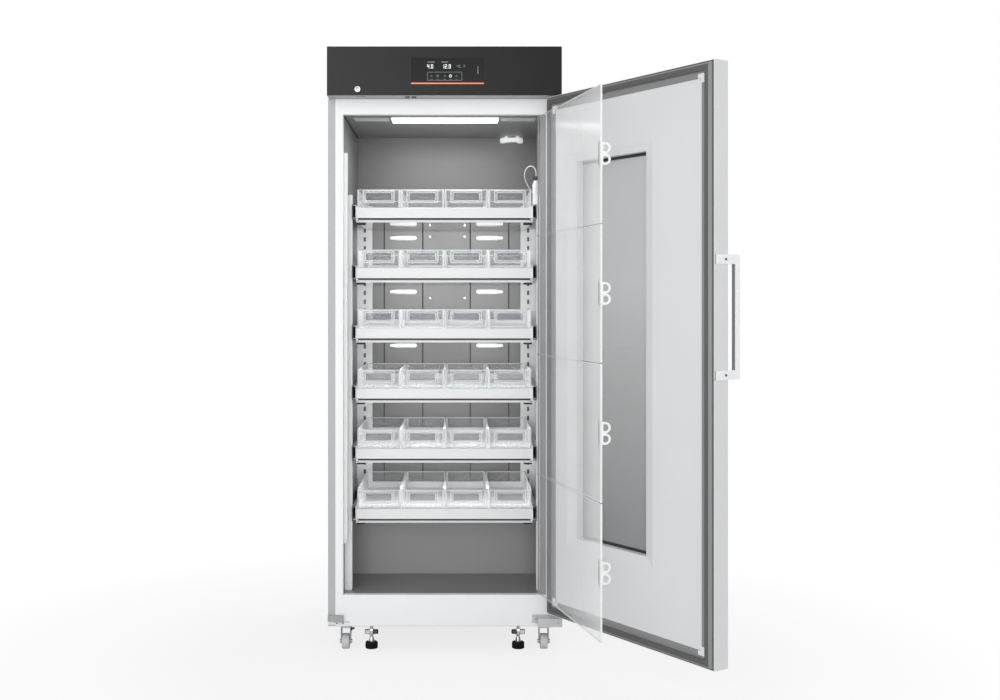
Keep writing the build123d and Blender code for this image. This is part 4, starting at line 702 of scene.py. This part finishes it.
def addLockFace(x, y, z, radius, keyway):
    form = bmesh.new()
    addLathe(form, ((radius, y + 1.8), (radius, y - 0.4), (radius - 1, y - 1.3), (radius - 2.2, y - 1.3),
                    (radius - 2.6, y - 0.5), (radius - 4, y - 0.5), (0, y - 0.7)), (x, 0, z), "y", 36)
    addArc(form, (x, z), (y - 0.9, y - 0.3), (3.5, 5.6), (35, 325), 24, 1)
    addBlock(form, [x + reach for reach in keyway], (y - 1, y - 0.3), span(z, 1.6), 0.1, 1)
    addPiece("lockFace", form, ("chrome", "plasticBlack"), "key_lock")


# Door switch under the hood, two dark bodies with a white plunger between them
doorSwitch = {"x": (-126, -91), "y": (-46, -24), "z": (1799.8, 1803.2), "rise": 0.6, "gap": 7,
              "plunger": 6, "plungerY": (-42, -28)}


def addDoorSwitch(x, y, z, rise, gap, plunger, plungerY):
    form = bmesh.new()
    inner = span(sum(x) / 2, gap)
    for body in ((x[0], inner[0]), (inner[1], x[1])):
        addBlock(form, body, y, (z[0] + rise, z[1]), 0.6)
    addBlock(form, span(sum(x) / 2, plunger), plungerY, z, 0.8, 1)
    addPiece("doorSwitch", form, ("plasticBlack", "plasticWhite"))


# Two slatted vents in the ceiling
ceiling = 1752
vents = {"edges": (190, 299), "y": (80, 146), "slats": 6, "share": 0.62}


def addVents(edges, y, slats, share):
    form = bmesh.new()
    low, high = y
    step = (high - low) / slats
    for side in (-1, 1):
        x = sorted(side * edge for edge in edges)
        for k in range(slats):
            addBlock(form, x, (low + k * step, low + k * step + share * step), (ceiling - 2, ceiling))
        for end in x:
            addBlock(form, span(end, 5), (low - 2, high), (ceiling - 1.6, ceiling), 0.4)
    addPiece("ceilingVents", form, ("ventGrey",))


# Cable ring near the back of the ceiling, on four short posts and with a bar across
cableRing = {"x": (198, 283), "y": (536, 590), "z": (1732, 1748), "corner": 22, "profile": (
    (0, 1.5), (0, 14.5), (1.5, 16), (8.5, 16), (10, 14.5), (10, 1.5), (8.5, 0), (1.5, 0))}


def addCableRing(x, y, z, corner, profile):
    form = bmesh.new()
    low, high = z
    rings = [addLoop(form, x, y, inset, low + rise, corner - inset, flat=True) for inset, rise in profile]
    joinRings(form, rings, closed=True)
    for post in (x[0] + corner, x[1] - corner):
        for deep in ((y[0] + 1, y[0] + 8), (y[1] - 8, y[1] - 1)):
            addBlock(form, span(post, 10), deep, (high - 2, ceiling + 0.2), 1)
    addBlock(form, span(sum(x) / 2, 52), span(sum(y) / 2, 6), (low + 3, low + 8), 1)
    # The cable ring carries the same painted glow
    addPiece("cableRing", form, ("slotWhiteGlow",))


# Shadow line where the ceiling meets the left wall, and down the corner behind it
ceilingShadow = {"left": -330.2, "along": (40, 613), "corner": (611.5, 614.2), "bottom": 1500}


def addCeilingShadow(left, along, corner, bottom):
    form = bmesh.new()
    addBlock(form, (left, left + 2.6), along, (ceiling - 2.4, ceiling + 0.1), 0.4)
    addBlock(form, (left, left + 1.8), corner, (bottom, ceiling), 0.3)
    addPiece("ceilingShadowGap", form, ("seamAndShadowDark",))


# Duct panel: joint strips, white vent inserts in the slots and four screws
ductPanel = {"y": 580, "joints": (-231, -88, 88, 231), "jointZ": (396.5, 1455), "slotX": 160,
             "slot": (100, 11.5), "slotZ": (583.4, 782.8, 982.2, 1181.6, 1381), "screwX": (-61, 67),
             "screwZ": (1386, 1158)}


def addDuctPanelDetail(y, joints, jointZ, slotX, slot, slotZ, screwX, screwZ):
    form = bmesh.new()
    for x in joints:
        addBlock(form, span(x, 4.4), (y - 0.5, y + 0.3), jointZ, 0.15)
    addPiece("ductJointStrips", form, ("seamAndShadowDark",))
    form = bmesh.new()
    wide, tall = slot
    for z in slotZ:
        for x in (-slotX, slotX):
            addPlate(form, span(x, wide), span(z, tall), (y - 1.2, y + 2), tall / 2 - 0.3)
    # The slot inserts carry a painted glow
    addPiece("ductSlotInserts", form, ("slotWhiteGlow",))
    form = bmesh.new()
    for x in screwX:
        for z in screwZ:
            addScrew(form, x, y, z)
    addPiece("ductScrews", form, ("chrome", "plasticBlack"))


# Catches on the left wall that hold the inner doors shut
catches = {"x": (-329.8, -320.5), "y": (21.7, 25.4), "half": 33, "gap": 5, "screwSpot": (-324.5, 25.2)}


def addCatches(x, y, half, gap, screwSpot):
    form = bmesh.new()
    for bottom in paneBottoms:
        middle = bottom + paneHeight / 2
        for z in ((middle - half, middle - gap), (middle + gap, middle + half)):
            addBlock(form, x, y, z, 1.2)
        addScrew(form, *screwSpot, middle)
    addPiece("innerDoorCatches", form, ("plasticWhite", "plasticGrey"))


# Slides: a dark end guard on the web and the two lips of each fixed channel, clear of the member inside it
slideEnds = {"left": -306.7, "right": 302.7, "wide": 10.8, "tall": 47.4, "y": (63.4, 66.2), "drop": 13,
             "web": 1.4, "lip": 2.1}


def addSlideEnds(left, right, wide, tall, y, drop, web, lip):
    form = bmesh.new()
    for top in drawerTops:
        low, high = span(top - drop, tall)
        for outer, inward in ((left, 1), (right, -1)):
            addBlock(form, (outer, outer + inward * web), y, (low, high), 0.4)
            for z in ((low, low + lip), (high - lip, high)):
                addBlock(form, (outer, outer + inward * wide), y, z, 0.4)
    addPiece("slideEndGuards", form, ("plasticDark",))


# Drawer front trim, measured down from the drawer's top: shadow groove, end caps and black release levers
drawerTrim = {"x": (-294, 290), "groove": (33, 38.8), "grooveY": (81.4, 87.9), "cap": 8,
              "capZ": (33.2, 43), "capY": (80, 91.8), "lever": (28, 34, 7), "leverY": 97, "leverDown": 47}


def addDrawerTrim(number, top, x, groove, grooveY, cap, capZ, capY, lever, leverY, leverDown):
    form = bmesh.new()
    left, right = x
    addBlock(form, (left + cap, right - cap), grooveY, [top - down for down in groove], 0.4)
    for end in ((left, left + cap), (right - cap, right)):
        addBlock(form, end, capY, [top - down for down in capZ], 1.4, 1)
    wide, deep, tall = lever
    high = top - leverDown
    for end, inward in ((left, 1), (right, -1)):
        addBlock(form, (end, end + inward * wide), (leverY, leverY + deep), (high - tall, high), 2.2, 2)
        addBlock(form, (end + inward * 6, end + inward * 16), (leverY + deep - 4, leverY + deep + 30),
                 (high - 4.5, high), 1.2, 3)
    looks = ("seamAndShadowDark", "plasticWhite", "plasticBlack", "zinc")
    addPiece(f"drawerTrim{number}", form, looks, f"drawer_{number}")


# Bins: thin clear shells with a rolled rim, ribs on the floor and a double label frame in front
bins = {
    "centres": [-2 + (k - 1.5) * 145.5 for k in range(4)], "width": 143.5, "y": (87, 553), "height": 62,
    "wall": 2.5, "corner": 6, "draft": 1.1, "rim": 3.4,
    "label": {"outer": (106, 42), "inner": (88, 27), "below": 2.5, "margin": 2.6},
    "ribs": {"count": 7, "pitch": 17, "wide": 2.4, "rise": 1.2, "dash": 46, "gap": 16, "ends": (16, 12)},
}


# Each row is (inset, rise, look on the flats), up the outside and down the inside; the corners get the bright
# edge finish, a painted highlight
def addBinShell(form, x, top):
    wall = bins["wall"]
    draft = bins["draft"]
    high = bins["height"]
    lip = high - bins["rim"]
    rows = (
        (draft + 3, 0, 0), (draft + 0.7, 0.8, 0), (draft, 3, 0), (0.7, lip, 0), (0, lip, 1),
        (0, high - 0.6, 1), (0.6, high, 1), (wall, high, 1), (wall + 0.6, high - 0.6, 0),
        (wall + draft, 5, 0), (wall + draft + 1.2, wall + 0.6, 0), (wall + draft + 4, wall, 0),
    )
    rings = []
    for inset, rise, look in rows:
        radius = max(bins["corner"] - inset, 1)
        rings.append(addLoop(form, span(x, bins["width"]), bins["y"], inset, top + rise, radius, flat=True))
        if len(rings) > 1:
            bridge(form, *rings[-2:], look, 1)
    capEnds(form, rings)


def addBinRibs(form, x, floor, count, pitch, wide, rise, dash, gap, ends):
    for k in range(count):
        across = span(x + (k - (count - 1) / 2) * pitch, wide)
        y = bins["y"][0] + ends[0]
        while y + dash < bins["y"][1] - ends[1]:
            addBlock(form, across, (y, y + dash), (floor, floor + rise), 0, 1)
            y += dash + gap


def addBinLabel(form, x, top, outer, inner, below, margin):
    z = (top - below - outer[1], top - below)
    outerX = span(x, outer[0])
    innerX = span(x, inner[0])
    innerZ = span(sum(z) / 2, inner[1])
    y = bins["y"][0]
    addRing(form, outerX, z, ((0, y + 0.6), (0, y - 1.2), (0.8, y - 2), (2, y - 2), (2.8, y - 1.2),
                              (2.8, y + 0.6)), 5, 1)
    addRing(form, innerX, innerZ, ((0, y + 0.3), (0, y - 1.1), (1.5, y - 1.1), (1.5, y + 0.3)), 3, 1)
    band = (outer[0] - inner[0]) / 2 - margin
    addRing(form, (outerX[0] + margin, outerX[1] - margin), (z[0] + margin, z[1] - margin),
            ((0, y + 0.1), (0, y - 0.5), (band, y - 0.5), (band, y + 0.1)), 3, 2)
    addPlate(form, (innerX[0] + 1.4, innerX[1] - 1.4), (innerZ[0] + 1.4, innerZ[1] - 1.4), (y - 0.6, y + 0.1),
             2, 3)


def addBins(number, top):
    form = bmesh.new()
    for x in bins["centres"]:
        addBinShell(form, x, top)
        addBinRibs(form, x, top + bins["wall"] - 0.3, **bins["ribs"])
        addBinLabel(form, x, top + bins["height"], **bins["label"])
    looks = ("clearBin", "binEdgeGlint", "labelBand", "labelPane")
    addPiece(f"drawerBins{number}", form, looks, f"drawer_{number}", (f"drawer_bins_{number}",))


# Inner doors: a polished free edge with a painted highlight, faint edges above and below, and a grey magnet
# strip behind each pull
innerDoor = {"x": (-324.2, 296.5), "y": (15.3, 20.7), "edge": 1.7, "rise": 0.15, "magnetX": (-317.4, -308.5),
             "magnetY": (20.4, 21.6), "magnetTall": 71}


def addInnerDoorTrim(number, bottom, x, y, edge, rise, magnetX, magnetY, magnetTall):
    form = bmesh.new()
    left, right = x
    low = bottom - rise
    high = bottom + paneHeight + rise
    addBlock(form, (left, left + edge), y, (low, high))
    for z in ((low, low + edge), (high - edge, high)):
        addBlock(form, (left + edge, right), y, z, 0.4, 1)
    addBlock(form, magnetX, magnetY, span(bottom + paneHeight / 2, magnetTall), 0.5, 2)
    looks = ("paneEdgeGlint", "labelBand", "magnetGrey")
    addPiece(f"innerDoorTrim{number}", form, looks, f"inner_door_leaf_{number}")


# Magnetic gasket: sloped outer side, flat bulb face and lower skirt, one rubber in three greys that are
# painted light and shade
gasket = {
    "x": (-373.5, 373.5), "z": (147.5, 1793.5),
    "rows": ((0, -12.5), (0, -7.8), (0.8, -6.9), (6, -1.6), (7.2, -1), (20.5, -1), (21.5, -1.9),
             (21.5, -7.6), (22.4, -8.5), (38.6, -8.5), (39.5, -9.4), (39.5, -12.5)),
    "looks": (2, 2, 2, 0, 0, 0, 0, 1, 1, 1, 1, 1),
}
gasketGap = {"x": (-377.2, 377.2), "z": (143.8, 1797.2),
             "rows": ((0, -14.2), (0, -12.2), (3.6, -12.2), (3.6, -14.2))}


def addGasket():
    form = bmesh.new()
    addRing(form, **gasket, radius=0.4, steps=1)
    addPiece("doorGasket", form, ("gasket", "gasketSkirtLit", "gasketSideLit"), "main_door", ("door_gasket",))
    addCornerClips(**cornerClips)
    form = bmesh.new()
    addRing(form, **gasketGap, radius=0.4, steps=1)
    addPiece("gasketShadowGap", form, ("seamAndShadowDark",), "main_door")


# White clips over the gasket's inner corners, two short arms each
cornerClips = {"reach": 334, "ends": ((187, -1), (1754, 1)), "long": 13, "far": 12, "front": -9.2,
               "backs": (-7.6, -7.7)}


def addCornerClips(reach, ends, long, far, front, backs):
    form = bmesh.new()
    for side in (-1, 1):
        x = side * reach
        for z, up in ends:
            addBlock(form, (x - side, x + side * far), (front, backs[0]), (z - up * long, z + up * far), 0.6)
            addBlock(form, (x - side * long, x + side * 0.5), (front, backs[1]), (z - up, z + up * far), 0.6)
    addPiece("gasketCornerClips", form, ("plasticWhite",), "main_door")


# Black spacer lines at the top and bottom of the window
windowSpacer = {"x": (-90.5, 235.5), "y": (-44.4, -43), "rows": ((404, 413), (1571, 1580))}


def addWindowSpacer(x, y, rows):
    form = bmesh.new()
    for z in rows:
        addBlock(form, x, y, z, 0.3)
    addPiece("windowSpacer", form, ("plasticBlack",), "main_door")


# One screw on each of the handle's two brackets
handleScrews = {"spots": ((-381.9, -53, 942), (-381.9, -53, 1258)),
                "profile": ((3.4, 0.2), (3.4, -1.9), (2.4, -2.6), (0, -2.7))}


def addHandleScrews(spots, profile):
    form = bmesh.new()
    for spot in spots:
        addLathe(form, profile, spot, "x", 18)
    addPiece("handleScrews", form, ("plasticDark",), "main_door")


# Levelling feet: ribbed rubber pad, chrome cone and threaded stem, a dark wing and a grey clamp
levellingFoot = {"x": 242, "y": 68, "radius": 20.5, "top": 22, "ribs": 30, "ribDeep": 1.1, "stem": 5,
                 "end": 110, "pitch": 1.6, "threadDeep": 0.7, "wingX": (4, 22), "wingThick": 9,
                 "wingZ": (46.5, 61.5)}


def addFoot(name, side, x, y, radius, top, ribs, ribDeep, stem, end, pitch, threadDeep, wingX, wingThick,
            wingZ):
    form = bmesh.new()
    x = side * x
    rings = []
    for inset, z in ((3, 0), (0.6, 0.8), (0, 3), (0, top - 5), (1.2, top - 1.4), (3.5, top)):
        ring = []
        for k in range(2 * ribs):
            reach = radius - inset - (ribDeep if k % 2 and 0.5 < z < top - 1 else 0)
            angle = pi * k / ribs
            ring.append(form.verts.new((x + reach * cos(angle), y + reach * sin(angle), z)))
        rings.append(ring)
    joinRings(form, rings)
    capEnds(form, rings)
    addLathe(form, ((0, top - 0.5), (11, top - 0.5), (11, top + 2), (9.6, top + 3.5), (6.2, top + 16),
                    (stem, top + 18)), (x, y, 0), steps=28, looks=1)
    thread = [(stem, top + 17.5)]
    z = top + 18
    while z < end - 2:
        thread.extend(((stem, z), (stem - threadDeep, z + pitch / 2)))
        z += pitch
    thread.extend(((stem - threadDeep, end - 1), (0, end)))
    addLathe(form, thread, (x, y, 0), steps=20, looks=1)
    low, high = wingZ
    near, far = wingX
    addBlock(form, (x - side * far, x - side * near), span(y, wingThick), wingZ, 4.2, 2)
    addBlock(form, (x + side * near, x + side * far), span(y, wingThick), wingZ, 1.5, 3)
    addLathe(form, ((0, low - 2), (8.2, low - 2), (8.6, low - 1), (8.6, high + 1), (8.2, high + 2),
                    (0, high + 2)), (x, y, 0), steps=6, looks=1)
    body = f"{name.lower()}_foot"
    addPiece(f"levellingFoot{name}", form, ("rubberBlack", "chrome", "plasticDark", "bracket"), body,
             (f"levelling_foot_{name.lower()}",))


# Small fittings on the door hinge bracket and the plain corner cap, whose holes are dark discs of painted
# shade
bracketDetail = {"screws": ((296, -3, 114), (364, -57.2, 114), (-366, -12, 115)),
                 "collar": ((8.6, 127), (8.6, 129), (7.4, 130.2), (5.4, 130.2)), "pin": (365, -44, 0),
                 "holes": ((-350, -3.2, 99), (-330, -3.2, 99)), "hole": 2.2}


def addBracketDetail(screws, collar, pin, holes, hole):
    form = bmesh.new()
    for spot in screws:
        addScrew(form, *spot)
    addLathe(form, collar, pin, steps=28)
    addPiece("bracketScrews", form, ("zinc", "plasticBlack"))
    form = bmesh.new()
    for x, y, z in holes:
        addLathe(form, ((hole, y + 0.4), (hole, y - 0.3), (0, y - 0.3)), (x, 0, z), "y", 16)
    addPiece("cornerStripHoleShade", form, ("seamAndShadowDark",))


addDisplay(**display)
addLockFace(**lockFace)
addDoorSwitch(**doorSwitch)
addVents(**vents)
addCableRing(**cableRing)
addCeilingShadow(**ceilingShadow)
addDuctPanelDetail(**ductPanel)
addCatches(**catches)
addSlideEnds(**slideEnds)
for number, top in enumerate(reversed(drawerTops), start=1):
    addDrawerTrim(number, top, **drawerTrim)
    addBins(number, top)
print("stage 5: cabinet and drawers detailed")

for number, bottom in enumerate(reversed(paneBottoms), start=1):
    addInnerDoorTrim(number, bottom, **innerDoor)
addGasket()
addWindowSpacer(**windowSpacer)
addHandleScrews(**handleScrews)
for name, side in (("Left", -1), ("Right", 1)):
    addFoot(name, side, **levellingFoot)
addBracketDetail(**bracketDetail)
print("stage 6: doors, feet and brackets detailed")

# The room: white for the eye, the glass and the gloss, and a softer light for the rest
room = {"ambient": 0.46, "gloss": 0.7, "tint": (0.99, 0.995, 1)}


# What the eye sees, straight or through glass
def eyeNode(tree, rays):
    return mathNode(tree, "MAXIMUM", rays.outputs["Is Camera Ray"], rays.outputs["Is Transmission Ray"])


def mixShaders(tree, share, first, second, out):
    mix = tree.nodes.new("ShaderNodeMixShader")
    for k, source in enumerate((share, first.outputs[0], second.outputs[0])):
        tree.links.new(source, mix.inputs[k])
    tree.links.new(mix.outputs[0], out.inputs["Surface"])


def addWorld(ambient, gloss, tint):
    world = bpy.data.worlds.new("studio")
    world.use_nodes = True
    tree = world.node_tree
    tree.nodes.clear()
    shades = []
    for color, strength in ((tint, ambient), ((1, 1, 1), 1.0)):
        shade = tree.nodes.new("ShaderNodeBackground")
        feed(tree, color, shade.inputs["Color"])
        shade.inputs["Strength"].default_value = strength
        shades.append(shade)
    rays = tree.nodes.new("ShaderNodeLightPath")
    glossy = mathNode(tree, "MULTIPLY", rays.outputs["Is Glossy Ray"], gloss)
    seen = mathNode(tree, "MAXIMUM", eyeNode(tree, rays), glossy)
    mixShaders(tree, seen, *shades, tree.nodes.new("ShaderNodeOutputWorld"))
    bpy.context.scene.world = world


# White floor that keeps the cabinet's shadow near it and fades into the room
studioFloor = {"reach": 40.0, "drop": 0.0005, "color": (0.86, 0.86, 0.86), "fadeFrom": 0.7, "fade": 0.9,
               "shadow": 0.22}


def addFloor(reach, drop, color, fadeFrom, fade, shadow):
    mesh = bpy.data.meshes.new("studioFloor")
    mesh.from_pydata([(-reach, -reach, 0), (reach, -reach, 0), (reach, reach, 0), (-reach, reach, 0)], [],
                     [(0, 1, 2, 3)])
    floor = linkObject("studioFloor", mesh, (0, 0, -drop))
    material, tree, shader = newMaterial("studioFloorWhite", {"Roughness": 0.9, "Specular IOR Level": 0.1})
    feed(tree, color, shader.inputs["Base Color"])
    glow = tree.nodes.new("ShaderNodeEmission")
    glow.inputs["Strength"].default_value = 1.0
    away = mathNode(tree, "SUBTRACT", vectorNode(tree, "LENGTH", placeNode(tree)), fadeFrom)
    near = mathNode(tree, "SUBTRACT", 1.0, mathNode(tree, "MULTIPLY", away, fade, clamp=True))
    share = mathNode(tree, "SUBTRACT", 1.0, mathNode(tree, "MULTIPLY", near, shadow))
    factor = mathNode(tree, "MULTIPLY", eyeNode(tree, tree.nodes.new("ShaderNodeLightPath")), share)
    mixShaders(tree, factor, shader, glow, tree.nodes["Material Output"])
    mesh.materials.append(material)


# Soft boxes round the cabinet, the ceiling light, and the light that it sends down behind each drawer front
lamps = {
    "keyLeft": {"place": (-2.4, -3.4, 3.0), "aim": (0.1, 0.1, 1.0), "size": (2.6, 2.6), "watts": 42.0},
    "fillRight": {"place": (2.8, -3.0, 2.2), "aim": (0.1, 0.1, 1.0), "size": (2.6, 2.6), "watts": 24.0},
    "front": {"place": (-0.2, -4.7, 1.3), "aim": (0.0, 0.4, 1.0), "size": (2.4, 2.4), "watts": 60.0},
    "backRim": {"place": (0.5, 3.4, 2.8), "aim": (0.0, 0.3, 1.0), "size": (2.4, 2.4), "watts": 40.0},
    "ledGlow": {"place": (0.0, 0.13, 1.745), "aim": (0.0, 0.20, 0.0), "size": (0.34, 0.09), "watts": 1.6},
}
drawerFill = {"size": (0.56, 0.09), "watts": (1.25, 1.2, 0.95, 0.9, 0.95), "below": 0.092,
              "place": (-0.002, 0.14), "aim": (0.0, 0.2, -0.12)}


def addLamp(name, place, aim, size, watts):
    data = bpy.data.lights.new(name, "AREA")
    data.shape = "RECTANGLE"
    data.size, data.size_y = size
    data.energy = watts
    holder = linkObject(name, data, place)
    holder.rotation_euler = (Vector(aim) - Vector(place)).to_track_quat("-Z", "Y").to_euler()


addWorld(**room)
addFloor(**studioFloor)
for name, lamp in lamps.items():
    addLamp(name, **lamp)
for number, (top, watts) in enumerate(zip(reversed(drawerTops), drawerFill["watts"]), start=1):
    spot = Vector((*drawerFill["place"], top * mm - drawerFill["below"]))
    addLamp(f"drawerFill{number}", spot, spot + Vector(drawerFill["aim"]), drawerFill["size"], watts)
print("stage 7: room and light set")
